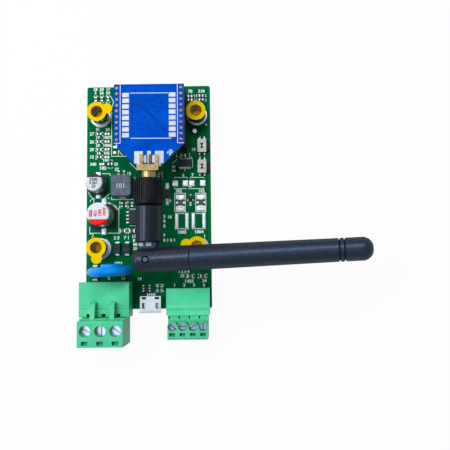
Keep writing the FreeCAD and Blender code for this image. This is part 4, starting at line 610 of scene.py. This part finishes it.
# pluggable connectors: moulded polyamide, with a fine seam between the poles and a line across the roof
greenLook = {
    "dark": (68, 200, 148), "light": (88, 222, 170), "seam": (40, 150, 104), "pale": (160, 240, 206),
    "roughness": 0.45, "sway": (0.05, 0.08), "specular": 0.18, "grain": 3000.0, "blotch": 180.0,
    "seamHalf": 0.07, "seamSoft": 0.03, "seamShare": 0.16, "lineShare": 0.6, "roofHalf": 0.05,
    "edge": 0.00018, "wear": 0.45, "creviceReach": 0.0011, "crevice": 0.9, "creviceTone": (4, 44, 30),
    "dust": 0.02, "dustTone": (196, 220, 206),
}
powerLook = {"middle": -14.35, "pitch": 5.08, "phase": 2.54}
signalLook = {"middle": 14.4, "pitch": 3.5, "phase": 0.0}
connectorLooks = {
    "powerHeaderGreen": {**powerLook, "line": -40.2, "roof": 10.17},
    "powerPlugGreen": {**powerLook, "line": None, "seamShare": 0.35},
    # the signal header's two tones are lighter than the power header's: painted light, as it stands farther
    # from the lamps
    "signalHeaderGreen": {**signalLook, "line": -39.3, "roof": 8.85,
                          "dark": (74, 216, 160), "light": (96, 238, 184)},
    "signalPlugGreen": {**signalLook, "line": None, "seamShare": 0.35},
}


def connectorFinish(name, look):
    look, tree, skin, grain = newFinish(name, look)
    colour = tones(tree, grain["Tone"], look["dark"], look["light"])
    across, along, up = splitPlace(tree, objectPlace(tree, shift=(-look["middle"], 0, 0)))
    half, soft = look["seamHalf"], look["seamSoft"]
    # folding the place on the pitch gives the distance to the nearest seam
    folded = calc(tree, "PINGPONG", calc(tree, "ADD", across, look["phase"] * mm), look["pitch"] / 2 * mm)
    seam = times(tree, within(tree, folded, -1.0, half, soft), look["seamShare"])
    colour = mixColour(tree, seam, colour, look["seam"])
    if look["line"]:
        line = within(tree, along, look["line"] - half, look["line"] + half, soft)
        roof = within(tree, up, look["roof"] - look["roofHalf"], look["roof"] + look["roofHalf"])
        colour = mixColour(tree, times(tree, line, roof, look["lineShare"]), colour, look["pale"])
    colour = overlay(tree, colour, edgeGroup, look["pale"], Radius=look["edge"], Amount=look["wear"])
    # painted shade: colour darkened in the connector's crevices and slots
    colour = overlay(tree, colour, creviceGroup, look["creviceTone"],
                     Reach=look["creviceReach"], Amount=look["crevice"])
    colour = overlay(tree, colour, dustGroup, look["dustTone"], Amount=look["dust"])
    finishOff(tree, skin, look, colour, sways(tree, grain["Height"], look), grain["Height"])


for name, look in connectorLooks.items():
    connectorFinish(name, {**greenLook, **look})
print("stage: special finishes")

# the nodes of the model that each finish dresses
dressedIn = {
    "carrierLacquer": ("carrier_board",),
    "moduleLacquer": ("module_board", "radio_board"),
    "tin": ("board_lands", "inductor_tabs", "diode_leads", "chip_ends", "usb_contacts"),
    "moduleTin": ("module_lands",),
    "pinBronzeShade": ("module_pins",),
    "blackPlastic": ("header_strips", "module_sockets", "can_bases", "switch_cases", "button_a", "button_b",
        "usb_tongue"),
    "spring": ("socket_contacts", "antenna_tube", "antenna_rod"),
    "chipEpoxy": ("radio_chip", "regulator", "small_chips", "diodes"),
    "steel": ("radio_crystal", "power_cages", "signal_cages"),
    "gold": ("jack_body", "jack_pin", "antenna_contact"),
    "whitePtfe": ("jack_insulator",),
    "nutPlastic": ("coupling_nut",),
    "footPlastic": ("antenna_foot",),
    "knucklePlastic": ("antenna_knuckle",),
    "armPlastic": ("antenna_sleeve", "antenna_cap"),
    "pinPlastic": ("hinge_pin",),
    "spacerPlating": ("spacers",),
    "film": ("spacer_films",),
    "smallCan": ("small_can",),
    "largeCan": ("large_can",),
    "tinLead": ("can_leads", "chip_leads", "varistor_wires", "switch_legs", "power_pins", "signal_pins"),
    "ferrite": ("inductor",),
    "resistorGlaze": ("chip_resistors",),
    "tanCeramic": ("chip_capacitors",),
    "lampLens": ("lamps",),
    "blueEpoxy": ("varistor",),
    "plateSteel": ("switch_plates",),
    "shellSteel": ("usb_shell",),
    "powerHeaderGreen": ("power_header",),
    "powerPlugGreen": ("power_plug",),
    "signalHeaderGreen": ("signal_header",),
    "signalPlugGreen": ("signal_plug",),
    "screwSteel": ("power_screws",),
    "smallScrewSteel": ("signal_screws",),
}
for finish, names in dressedIn.items():
    for name in names:
        thing = nodes[name]
        if not thing.material_slots:
            thing.data.materials.append(finishes[finish])
        for slot in thing.material_slots:
            slot.material = finishes[finish]
print("stage: nodes dressed,", sum(len(names) for names in dressedIn.values()))


# pick-up films: bright where they lie on metal, clear amber over the bore
clearLook = {
    "dark": (124.8, 92.8, 0), "light": (156, 116, 0), "roughness": 0.3, "sway": 0.06, "specular": 0.1,
    "grain": 1500.0, "blotch": 420.0, "ior": 1.12,
}
filmSet = {
    "spots": ((-17.53, 29.53), (17.67, 29.53), (-17.53, -18.67), (17.67, -18.67)),
    # the way that each tab points; the second is folded down
    "tabs": ((0.96, 0.28), None, (0.05, -1.0), (-0.98, 0.21)),
    "across": 6.9, "bore": 4.2, "tabAcross": 3.8, "tabReach": 3.8, "low": 8.6, "high": 8.72, "steps": 72,
    "fold": {"thick": 0.07, "aside": 3.3, "drop": 3.9, "share": 0.7},
    "paneGap": 0.01, "paneSunk": 0.02, "paneSteps": 40,
}


def clearFilm(name, look):
    look, tree, skin, grain = newFinish(name, look)
    skin["Transmission Weight"].default_value = 1.0
    skin["IOR"].default_value = look["ior"]
    tree.links.new(tones(tree, grain["Tone"], look["dark"], look["light"]), skin["Base Color"])
    tree.links.new(sways(tree, grain["Height"], look), skin["Roughness"])


def filmReach(look, angle):
    # outline of a disc with a round tab, as seen from the disc's middle
    reach, tab, away = look["across"] / 2, look["tabAcross"] / 2, look["tabReach"]
    if abs(angle) < math.asin(tab / away):
        reach = max(reach, away * math.cos(angle) + math.sqrt(tab ** 2 - (away * math.sin(angle)) ** 2))
    return reach


def makeFilms(look):
    low, high, bore = look["low"], look["high"], look["bore"] / 2

    def ring(shape, x, y, tab):
        toTab = math.atan2(tab[1], tab[0]) if tab else 0.0
        rows = []
        for step in range(look["steps"]):
            angle = 2 * math.pi * step / look["steps"] - math.pi
            outer = filmReach(look, angle) if tab else look["across"] / 2
            way = Vector((math.cos(angle + toTab), math.sin(angle + toTab)))
            corners = ((bore, low), (outer, low), (outer, high), (bore, high))
            rows.append([shape.verts.new((x + way.x * reach, y + way.y * reach, level))
                         for reach, level in corners])
        bridge(shape, rows, closed=True)

    def foldedTab(shape, x, y, fold):
        box = bmesh.ops.create_cube(shape, size=1.0)["verts"]
        size = (fold["thick"], look["tabAcross"] * fold["share"], fold["drop"])
        bmesh.ops.scale(shape, vec=size, verts=box)
        middle = (x - fold["aside"] - fold["thick"], y, high - fold["drop"] / 2)
        bmesh.ops.translate(shape, vec=middle, verts=box)

    def rings(shape):
        for (x, y), tab in zip(look["spots"], look["tabs"]):
            ring(shape, x, y, tab)
            if not tab:
                foldedTab(shape, x, y, look["fold"])

    def panes(shape):
        sunk = look["paneSunk"]
        for x, y in look["spots"]:
            disc(shape, x, y, bore - look["paneGap"], low + sunk, high - sunk, look["paneSteps"])

    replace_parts(lay("film_rings", "film", rings), "spacer_films")
    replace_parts(lay("film_panes", "clearFilm", panes), "spacer_films")


clearFilm("clearFilm", clearLook)
makeFilms(filmSet)
print("stage: films")


# white print on the carrier board
boardPrint = {
    "low": 1.59, "high": 1.625, "line": 0.22, "bold": 0.055,
    "hook": {"flat": 0.38, "corner": 0.22, "end": 0.28},
    # open brackets beside the chips: x, y, half length, half width, lies along Y
    "brackets": (
        (-19.35, 36.0, 1.3, 0.75, True), (-17.1, 36.0, 1.3, 0.75, True), (-14.85, 36.05, 1.3, 0.75, True),
        (-18.0, 23.05, 1.3, 0.75, False), (-18.0, 20.2, 1.3, 0.75, False), (-18.0, 17.3, 1.3, 0.75, False),
        (-18.0, 14.45, 1.3, 0.75, False), (-14.0, 11.9, 1.5, 0.8, True), (15.25, 36.0, 1.7, 1.25, False),
        (19.3, 36.0, 1.7, 1.35, False), (-9.0, -3.0, 1.6, 1.3, False), (-9.35, -12.5, 1.35, 1.0, False),
        (-6.0, -12.5, 1.5, 1.0, False), (14.85, -29.0, 1.45, 0.85, False), (19.25, -29.0, 1.6, 0.85, False),
        (3.9, -33.15, 1.3, 1.5, True),
    ),
    "lines": (
        ((-13.57, 31.2), (-13.53, 14.79), (-8.0, 14.72)),
        ((-14.24, 37.4), (-13.39, 36.1), (-12.86, 35.03), (-13.3, 33.2)),
        ((-11.05, 14.76), (-11.03, 16.9), (-8.82, 14.4)), ((-6.9, 12.4), (-3.2, 8.6)),
        ((-16.95, 8.44), (-14.03, 8.4), (-13.9, 7.6)), ((-22.0, 1.9), (-20.81, -0.21), (-19.6, -0.9)),
        ((-17.0, -0.9), (-15.82, -0.4), (-14.25, 1.05)), ((-5.5, 6.9), (-5.0, 6.9), (-5.0, 5.0)),
        ((-13.5, -0.1), (-13.5, -1.06), (-5.3, -1.14)), ((-14.95, -0.53), (-14.25, -0.53)),
        ((-14.6, -0.2), (-14.6, -0.88)), ((-21.35, -10.8), (-21.34, -13.17), (-17.3, -13.22)),
        ((-14.8, -13.25), (-10.81, -13.3), (-10.83, -4.12)),
        ((-14.9, -2.4), (-13.3, -2.7), (-11.9, -3.5), (-10.95, -5.0)), ((-6.95, -10.62), (-3.3, -10.66)),
        ((-6.95, -4.6), (-3.3, -4.64)), ((9.35, 6.3), (9.35, 6.72), (13.73, 6.69), (14.05, 6.35)),
        ((15.0, 6.3), (15.3, 6.66), (19.9, 6.6), (20.2, 6.3)), ((9.35, 3.0), (9.35, 2.62), (13.7, 2.58)),
        ((15.6, 2.56), (19.9, 2.5), (19.9, 2.9)), ((10.85, -6.45), (13.15, -6.48)),
        ((10.82, -11.91), (13.12, -11.94)), ((16.9, -6.53), (19.32, -6.56)),
        ((16.86, -11.99), (19.27, -12.02)), ((10.1, 15.9), (10.1, 14.3), (10.9, 14.3)),
        ((14.85, 15.7), (14.85, 14.2)), ((15.5, 14.4), (15.95, 12.9), (15.97, 10.5), (10.97, 10.35)),
        ((10.36, 13.42), (8.7, 11.96)), ((13.1, 10.2), (13.05, 8.9)),
    ),
    "frames": (
        ((9.38, 0.9), (13.3, 0.87), (13.26, -5.8), (9.36, -5.75)),
        ((16.96, 0.83), (20.7, 0.78), (20.66, -5.9), (16.91, -5.85)),
    ),
    # x, y, radius, start, end
    "arcs": (
        (15.03, 2.9, 0.45, 20, 340), (-20.5, -1.6, 0.7, -60, 200), (-20.7, -14.0, 0.62, -90, 150),
        (-17.53, 29.53, 3.82, 200, 350), (-17.53, -18.67, 3.82, -80, 60), (17.67, -18.67, 3.82, -40, 50),
        (-16.2, -7.2, 5.3, 28, 74),
    ),
    "numbers": (
        ("28", -19.5, 39.7, 1.05), ("3", -19.5, 38.35, 1.05), ("30", -17.25, 39.7, 1.05),
        ("26", -17.25, 38.35, 1.05), ("17", -14.9, 39.7, 1.05), ("24", -14.9, 38.35, 1.05),
        ("27", -20.75, 23.1, 1.1), ("26", -20.75, 20.15, 1.1), ("29", -20.75, 17.3, 1.1),
        ("12", -20.75, 14.6, 1.1), ("31", -18.6, 24.75, 1.05), ("20", -15.0, 24.7, 1.05),
        ("19", -18.6, 21.75, 1.05), ("1007", -15.2, 21.75, 1.05), ("18", -18.6, 18.8, 1.05),
        ("1006", -15.2, 18.8, 1.05), ("16", -18.3, 15.95, 1.05), ("105", -15.4, 15.95, 1.05),
        ("104", -15.6, 13.35, 1.05), ("340", -20.2, 11.9, 1.05), ("102", -16.7, 10.45, 1.2),
        ("32", -11.9, 11.85, 1.0), ("27", -11.6, 9.95, 1.05), ("15", -7.2, 8.3, 1.1),
        ("1", 18.8, 21.25, 0.8), ("2", 20.25, 21.25, 0.8), ("2", 18.7, 13.9, 0.8), ("1", 20.3, 13.9, 0.8),
        ("10", 16.3, 16.9, 1.1), ("4", 21.0, 26.0, 1.0), ("78", 15.3, 38.5, 1.1), ("218", 19.4, 38.5, 1.1),
        ("6", 12.55, 7.45, 1.15), ("7", 15.9, 7.45, 1.15), ("302", 10.9, 1.7, 1.1), ("102", 19.1, 1.6, 1.1),
        ("5", 15.1, -3.1, 1.25), ("4", 7.7, -1.7, 1.2), ("1003", 11.9, -13.25, 1.15),
        ("1004", 18.1, -13.21, 1.15), ("1", 20.1, -14.8, 1.1), ("2", 5.64, -7.5, 1.1),
        ("8", 5.64, -9.2, 1.1), ("8", 5.62, -11.0, 1.1), ("18", 7.5, -7.75, 1.15), ("9", 5.62, -14.3, 1.1),
        ("0 1 0 1", 7.4, -16.1, 1.1), ("11", -5.4, -14.6, 1.05), ("8", -5.35, -16.05, 1.05),
        ("88", -4.95, -17.5, 1.05), ("20", -5.0, -18.95, 1.05), ("2 3", -11.6, -15.05, 1.1),
        ("7 1", -8.0, -15.0, 1.1), ("1001", -11.0, -24.2, 1.1), ("25", 12.0, -28.85, 1.05),
        ("1485", 14.4, -30.85, 1.2), ("24", 19.9, -30.7, 1.15), ("24", -19.4, -29.55, 1.15),
        ("0", -14.4, -29.55, 1.15), ("10", -9.3, -29.55, 1.15), ("1", 9.15, -32.25, 1.1),
        ("2", 12.65, -32.25, 1.1), ("3", 16.15, -32.25, 1.1), ("4", 19.65, -32.25, 1.1),
        ("1 2 3 4", 12.5, -27.4, 1.0), ("14", -3.4, -29.8, 1.05),
    ),
}


def bracketLines(x, y, long, side, alongY):
    # four hooks that face each other in pairs
    hook = boardPrint["hook"]
    for way in (-1, 1):
        bend = [(long - hook["flat"], way * side), (long, way * (side - hook["corner"])),
                (long, way * hook["end"])]
        for part in (bend, [(-a, b) for a, b in reversed(bend)]):
            yield [(x + b, y + a) if alongY else (x + a, y + b) for a, b in part]


def boardLines(shape):
    size = boardPrint["line"], boardPrint["low"], boardPrint["high"]
    for entry in boardPrint["brackets"]:
        ribbons(shape, bracketLines(*entry), *size)
    ribbons(shape, boardPrint["lines"], *size)
    ribbons(shape, boardPrint["frames"], *size, closed=True)
    ribbons(shape, [arc(*entry) for entry in boardPrint["arcs"]], *size)


lay("board_print", "silk", boardLines)
layNumbers("board_numbers", "silk", boardPrint)
print("stage: carrier print")

# print, copper lines and small vias on the radio board
modulePrint = {
    "low": 15.36, "high": 15.395, "line": 0.22, "trace": 0.16, "traceSunk": 0.015, "bold": 0.042,
    "lines": (
        ((-7.9, 36.9), (-7.9, 16.55), (-10.0, 16.55)), ((11.75, 36.9), (11.75, 16.45), (13.9, 16.45)),
        ((-4.6, 33.98), (8.6, 33.9)), ((-4.3, 18.22), (9.6, 18.05)),
    ),
    "traces": (
        ((-4.3, 31.5), (2.4, 31.33), (3.4, 31.3)),
        ((-4.3, 30.6), (-2.3, 30.6), (-2.28, 29.7), (-0.6, 28.15), (0.8, 28.14), (4.2, 24.9)),
        ((-1.7, 30.5), (0.0, 28.7)), ((-4.3, 23.4), (1.0, 23.35), (4.3, 19.9)), ((0.6, 22.7), (3.8, 19.6)),
        ((2.9, 31.0), (4.7, 32.7)), ((0.2, 28.95), (8.5, 28.83)), ((1.0, 28.65), (7.5, 21.45)),
        ((0.6, 28.05), (7.1, 21.05)),
    ),
    "vias": (
        (-3.26, 32.5), (-3.46, 29.9), (-3.65, 27.3), (-3.75, 25.2), (0.38, 25.4), (-3.36, 19.9),
        (6.25, 30.4), (3.0, 29.6), (5.06, 27.4), (4.07, 22.6), (4.75, 32.75), (7.35, 21.2), (4.1, 19.7),
    ),
    "numbers": (("1", -9.1, 15.4, 1.3), ("20", 9.2, 13.2, 1.4, 45)),
}
low, high = modulePrint["low"], modulePrint["high"]
layLines("module_print", "silkOnBlue", modulePrint["lines"], modulePrint["line"], low, high)
layLines("module_traces", "traceBlue", modulePrint["traces"], modulePrint["trace"],
         low, high - modulePrint["traceSunk"])
layNumbers("module_numbers", "silkOnBlue", modulePrint)
print("stage: module print")


# Geometry Nodes set one shape on many points
def geometryTree(name, numbers):
    tree = bpy.data.node_groups.new(name, "GeometryNodeTree")
    for way in ("INPUT", "OUTPUT"):
        tree.interface.new_socket(name="Geometry", in_out=way, socket_type="NodeSocketGeometry")
    for label, value in numbers.items():
        kind = "NodeSocketInt" if isinstance(value, int) else "NodeSocketFloat"
        tree.interface.new_socket(name=label, in_out="INPUT", socket_type=kind).default_value = value
    return tree, tree.nodes.new("NodeGroupInput").outputs


def setOnPoints(tree, given, shape, finish, **placing):
    placing.update(Points=given["Geometry"], Instance=shape)
    placed = put(tree, "GeometryNodeInstanceOnPoints", placing)
    real = put(tree, "GeometryNodeRealizeInstances", {0: placed.outputs[0]})
    dressed = put(tree, "GeometryNodeSetMaterial", {"Geometry": real.outputs[0], "Material": finish})
    put(tree, "NodeGroupOutput", {0: dressed.outputs[0]})
    return tree


def grow(name, tree, points, values, finish):
    # runs the tree on loose points and keeps the result as a plain mesh
    seedMesh = bpy.data.meshes.new(name + "Points")
    seedMesh.from_pydata([Vector(point) * mm for point in points], [], [])
    holder = bpy.data.objects.new(name + "Points", seedMesh)
    scene.collection.objects.link(holder)
    modifier = holder.modifiers.new("grow", "NODES")
    modifier.node_group = tree
    for item in tree.interface.items_tree:
        if item.in_out == "INPUT" and item.name in values:
            modifier[item.identifier] = values[item.name]
    holder.update_tag()
    bpy.context.view_layer.update()
    mesh = bpy.data.meshes.new_from_object(holder.evaluated_get(bpy.context.evaluated_depsgraph_get()))
    holder.modifiers.clear()
    bpy.data.objects.remove(holder)
    # a shape that is grown downwards comes out inside out, so its faces are turned outwards
    shape = bmesh.new()
    shape.from_mesh(mesh)
    bmesh.ops.recalc_face_normals(shape, faces=shape.faces)
    shape.to_mesh(mesh)
    shape.free()
    newPiece(name, mesh, finish)


def filletTree(finish):
    # a solder fillet on each point: a low cone, turned and sized a little differently from its neighbours
    tree, given = geometryTree("solderFillets", {
        "Foot radius": 0.0008, "Top radius": 0.0003, "Tall": 0.0006, "Belly": 0.4, "Sides": 14,
        "Spread": 0.08, "Seed": 3})
    cone = put(tree, "GeometryNodeMeshCone", {
        "Vertices": given["Sides"], "Side Segments": 3, "Radius Bottom": given["Foot radius"],
        "Radius Top": given["Top radius"], "Depth": given["Tall"]})
    # wetted solder draws its sides in: narrower half way up
    x, y, z = splitPlace(tree, put(tree, "GeometryNodeInputPosition").outputs[0])
    share = calc(tree, "DIVIDE", z, given["Tall"])
    hollow = times(tree, calc(tree, "SINE", times(tree, share, math.pi)), given["Belly"])
    kept = less(tree, 1.0, hollow)
    drawn = put(tree, "ShaderNodeCombineXYZ", {"X": times(tree, x, kept), "Y": times(tree, y, kept), "Z": z})
    shaped = put(tree, "GeometryNodeSetPosition",
                 {"Geometry": cone.outputs["Mesh"], "Position": drawn.outputs[0]})
    smooth = put(tree, "GeometryNodeSetShadeSmooth", {0: shaped.outputs[0]})

    def chance(low, high):
        limits = {2: low, 3: high, "Seed": given["Seed"]}
        return put(tree, "FunctionNodeRandomValue", limits, data_type="FLOAT").outputs[1]

    size = chance(less(tree, 1.0, given["Spread"]), calc(tree, "ADD", 1.0, given["Spread"]))
    about = put(tree, "ShaderNodeCombineXYZ", {"Z": chance(0.0, 2 * math.pi)}).outputs[0]
    return setOnPoints(tree, given, smooth.outputs[0], finish, Rotation=about, Scale=size)


def tipsUnder(name, look):
    # middles of the solder tails that come out under the board, found by their lowest corners
    groups = []
    for vertex in nodes[name].data.vertices:
        if vertex.co.z < look["tailsBelow"] * mm:
            spot = vertex.co.xy / mm
            near = [group for group in groups if (group[0] - spot).length < look["tailReach"]]
            if near:
                near[0].append(spot)
            else:
                groups.append([spot])
    return [sum(group, Vector((0, 0))) / len(group) for group in groups]


solder = {
    "pinRows": (-9.05, 12.95), "firstPin": 17.8, "pinPitch": 2.0, "pins": 10, "pinLevel": 15.41,
    "pinTop": {"Foot radius": 0.00069, "Top radius": 0.00037, "Tall": 0.00042, "Belly": 0.08, "Spread": 0.05,
               "Seed": 5},
    "tailNodes": ("power_pins", "signal_pins", "varistor_wires", "socket_contacts"),
    "tailsBelow": -1.3, "tailReach": 1.4, "tailLevel": 0.01,
    "under": {"Foot radius": 0.00125, "Top radius": 0.0004, "Tall": -0.0011, "Belly": 0.3, "Spread": 0.06,
              "Seed": 8},
}


def makeSolder(look):
    along = [look["firstPin"] + look["pinPitch"] * step for step in range(look["pins"])]
    pins = [(x, y, look["pinLevel"]) for x in look["pinRows"] for y in along]
    tails = [(*tip, look["tailLevel"]) for name in look["tailNodes"] for tip in tipsUnder(name, look)]
    for name, points, values, finish in (("pin_solder", pins, look["pinTop"], finishes["pinSolder"]),
                                         ("tail_solder", tails, look["under"], finishes["tin"])):
        grow(name, filletTree(finish), points, values, finish)
    print("stage: solder,", len(pins), "pins and", len(tails), "tails")


makeSolder(solder)

# solder that stands on bare lands: a low pillow on each, steep at its sides and flat on its crown
padSolder = {
    "low": 1.645, "lift": 0.004, "cells": (8, 10), "steep": (3.2, 6),
    # crown, ends along Y, and ends along X of each pillow in the row
    "rows": (
        (0.2, (-12.14, -6.26), ((9.6, 10.62), (13.29, 14.32), (15.58, 16.62), (19.44, 20.46))),
        (0.12, (3.56, 5.54), ((8.76, 10.54), (12.41, 14.19), (14.76, 16.54), (18.71, 20.49))),
        (0.14, (-1.24, 0.3), ((9.84, 13.12), (17.26, 20.54))),
        (0.14, (-5.53, -3.75), ((9.84, 13.12), (17.26, 20.54))),
        (0.1, (8.2, 8.95), ((-18.95, -17.75),)), (0.1, (-0.55, 0.1), ((-18.95, -17.75),)),
        (0.1, (-13.7, -12.5), ((-16.8, -15.6),)), (0.1, (-1.9, -0.7), ((-16.8, -15.6),)),
    ),
}


def pillow(shape, look, spanX, spanY, crown):
    across, along = look["cells"]
    (steepX, steepY), low = look["steep"], look["low"]

    def corner(i, j):
        u, v = i / across, j / along
        dome = (1 - abs(2 * u - 1) ** steepX) * (1 - abs(2 * v - 1) ** steepY)
        place = (spanX[0] + (spanX[1] - spanX[0]) * u, spanY[0] + (spanY[1] - spanY[0]) * v)
        return shape.verts.new((*place, low + crown * dome + look["lift"]))

    top = [[corner(i, j) for j in range(along + 1)] for i in range(across + 1)]
    for i in range(across):
        for j in range(along):
            shape.faces.new((top[i][j], top[i + 1][j], top[i + 1][j + 1], top[i][j + 1])).smooth = True
    rim = [top[i][0] for i in range(across)] + [top[across][j] for j in range(along)]
    rim += [top[i][along] for i in range(across, 0, -1)] + [top[0][j] for j in range(along, 0, -1)]
    foot = [shape.verts.new((*point.co.xy, low)) for point in rim]
    for step, point in enumerate(rim):
        following = (step + 1) % len(rim)
        shape.faces.new((point, rim[following], foot[following], foot[step]))
    shape.faces.new(foot)


def pillows(shape):
    for crown, spanY, row in padSolder["rows"]:
        for spanX in row:
            pillow(shape, padSolder, spanX, spanY, crown)


lay("pad_solder", "padTin", pillows)
print("stage: pad solder")


def viaTree(finish):
    # a flat dot on each point
    tree, given = geometryTree("viaDots", {"Radius": 0.0002, "Thick": 0.00003, "Sides": 10})
    dot = put(tree, "GeometryNodeMeshCylinder",
              {"Vertices": given["Sides"], "Radius": given["Radius"], "Depth": given["Thick"]})
    return setOnPoints(tree, given, dot.outputs["Mesh"], finish)


carrierVias = (
    (-21.0, 38.8), (-21.4, 34.2), (-21.2, 26.4), (-21.3, 8.9), (-14.0, 33.8), (-12.0, 12.9),
    (-10.2, 13.2), (-4.3, 7.6), (21.4, 38.6), (15.6, 30.6), (15.3, 27.0), (21.2, 23.0), (15.5, 21.8),
    (18.6, -8.6), (12.2, -9.8), (8.4, -12.6), (3.4, -14.4), (6.8, -10.2), (20.6, -25.0), (-21.2, -15.2),
    (-13.6, -14.2), (-13.3, -22.6), (-6.6, -23.2), (-4.2, -26.8), (0.8, -27.8), (7.6, -27.6),
    (4.9, -29.4), (8.2, -25.6), (-1.6, -28.8), (16.6, 8.9), (21.6, 4.5), (14.9, 13.9), (7.9, 7.0),
    (9.4, 8.2),
)
vias = {
    "board_vias": {"spots": carrierVias, "level": 1.6, "finish": "viaDark",
                   "size": {"Radius": 0.00022, "Thick": 0.00004}},
    "module_vias": {"spots": modulePrint["vias"], "level": 15.37, "finish": "viaBlue",
                    "size": {"Radius": 0.00042, "Thick": 0.00004}},
}
for name, look in vias.items():
    finish = finishes[look["finish"]]
    spots = [(*spot, look["level"]) for spot in look["spots"]]
    grow(name, viaTree(finish), spots, look["size"], finish)
print("stage: vias")

# numbers and bars on the parts
partMarks = {
    "small_can_numbers": {"finish": "inkBlack", "low": 9.295, "high": 9.315, "bold": 0.055, "numbers": (
        ("2200", -18.4, 5.15, 1.0), ("0 061", -18.3, 3.95, 0.9), ("25", -18.3, 2.75, 1.0))},
    "large_can_numbers": {"finish": "inkRed", "low": 11.795, "high": 11.815, "bold": 0.055, "numbers": (
        ("421", -17.05, -7.0, 1.05, 90), ("100", -15.5, -6.9, 1.15, 90), ("4909", -13.95, -6.4, 1.0, 90))},
    "large_can_bars": {"finish": "inkRed", "low": 11.795, "high": 11.815, "wide": 0.42, "lines": (
        ((-18.95, -8.2), (-18.95, -5.9)), ((-18.4, -8.2), (-18.4, -5.9)))},
    "coil_numbers": {"finish": "inkGrey", "low": 5.995, "high": 6.015, "bold": 0.042,
                     "numbers": (("101", -9.5, 3.2, 1.7),)},
}
for name, look in partMarks.items():
    if "lines" in look:
        layLines(name, look["finish"], look["lines"], look["wide"], look["low"], look["high"])
    else:
        layNumbers(name, look["finish"], look)

# round targets on the carrier board: x, y, radius, top and sides of each disc
targets = {
    "target_dot": ("tin", ((16.86, 23.78, 0.8, 1.63, 24),)),
    "target_ring": ("viaDark", ((16.86, 23.78, 1.35, 1.61, 24), (15.02, 1.78, 0.34, 1.61, 14))),
}


def targetDiscs(shape, discs):
    for x, y, radius, high, sides in discs:
        disc(shape, x, y, radius, boardPrint["low"], high, sides)


for name, (finish, discs) in targets.items():
    lay(name, finish, lambda shape: targetDiscs(shape, discs))
print("stage: marks")

# floor, lights, camera
studio = {
    "floor": {"level": -1.52, "half": 3.0, "light": 0.94, "tone": 0.95, "roughness": 0.9},
    "lamps": {
        "key": {"place": (-0.14, 0.2, 0.5), "size": (0.7, 0.09), "watts": 2.25},
        "top": {"place": (-0.24, 0.18, 0.5), "size": (1.0, 1.0), "watts": 1.6},
        "side": {"place": (-0.55, 0.07, 0.3), "size": (0.5, 0.1), "watts": 1.1},
    },
    "world": 0.07, "surroundings": 0.92,
    # lens and sensor in millimetres, place in metres, then the camera's own three axes
    "camera": {
        "lens": 47.96, "sensor": 36.0, "near": 0.01, "place": (0.029156, -0.027743, 0.21695),
        "axes": ((0.99989297, -0.01177597, -0.00868165), (0.01241982, 0.99685439, 0.07827562),
                 (0.00773257, -0.07837506, 0.99689395)),
    },
}


def mixSeen(tree, plain, seen, end, share=1.0):
    # what the camera, glossy and clear surfaces see is mixed in, and the rest is lit by the plain shader
    path = put(tree, "ShaderNodeLightPath").outputs
    direct = calc(tree, "ADD", path["Is Camera Ray"], path["Is Glossy Ray"])
    rays = calc(tree, "ADD", direct, path["Is Transmission Ray"], clamp=True)
    parts = {0: times(tree, rays, share), 1: plain.outputs[0], 2: seen.outputs[0]}
    mix = put(tree, "ShaderNodeMixShader", parts)
    tree.links.new(mix.outputs[0], tree.nodes[end].inputs["Surface"])


def grey(level):
    return (level, level, level, 1.0)


def makeFloor(look):
    half, level = look["half"], look["level"] * mm
    corners = [(x * half, y * half, level) for x, y in ((-1, -1), (1, -1), (1, 1), (-1, 1))]
    mesh = bpy.data.meshes.new("floor")
    mesh.from_pydata(corners, [], [(0, 1, 2, 3)])
    finish = bpy.data.materials.new("floorWhite")
    finish.use_nodes = True
    tree = finish.node_tree
    shader = tree.nodes["Principled BSDF"]
    plain = {"Base Color": grey(look["tone"]), "Roughness": look["roughness"], "Specular IOR Level": 0.0}
    for label, value in plain.items():
        shader.inputs[label].default_value = value
    white = put(tree, "ShaderNodeEmission", {"Strength": 1.0})
    mixSeen(tree, shader, white, "Material Output", look["light"])
    newPiece("floor", mesh, finish, None)


def makeLamp(name, look):
    lamp = bpy.data.lights.new(name, "AREA")
    lamp.shape = "RECTANGLE"
    lamp.size, lamp.size_y = look["size"]
    lamp.energy = look["watts"]
    holder = bpy.data.objects.new(name, lamp)
    holder.location = look["place"]
    holder.rotation_euler = (-Vector(look["place"])).to_track_quat("-Z", "Y").to_euler()
    scene.collection.objects.link(holder)


def makeWorld(look):
    world = bpy.data.worlds.new("studio")
    world.use_nodes = True
    tree = world.node_tree
    soft = tree.nodes["Background"]
    soft.inputs["Color"].default_value = grey(1.0)
    soft.inputs["Strength"].default_value = look["world"]
    white = put(tree, "ShaderNodeBackground", {"Color": grey(look["surroundings"]), "Strength": 1.0})
    mixSeen(tree, soft, white, "World Output")
    scene.world = world


def makeCamera(look):
    camera = bpy.data.cameras.new("camera")
    camera.lens = look["lens"]
    camera.sensor_width = look["sensor"]
    camera.clip_start = look["near"]
    holder = bpy.data.objects.new("camera", camera)
    holder.matrix_world = Matrix.Translation(look["place"]) @ Matrix(look["axes"]).transposed().to_4x4()
    scene.collection.objects.link(holder)
    scene.camera = holder


makeFloor(studio["floor"])
for name, look in studio["lamps"].items():
    makeLamp(name, look)
makeWorld(studio)
makeCamera(studio["camera"])
scene.view_settings.view_transform = "Standard"
print("stage: studio")
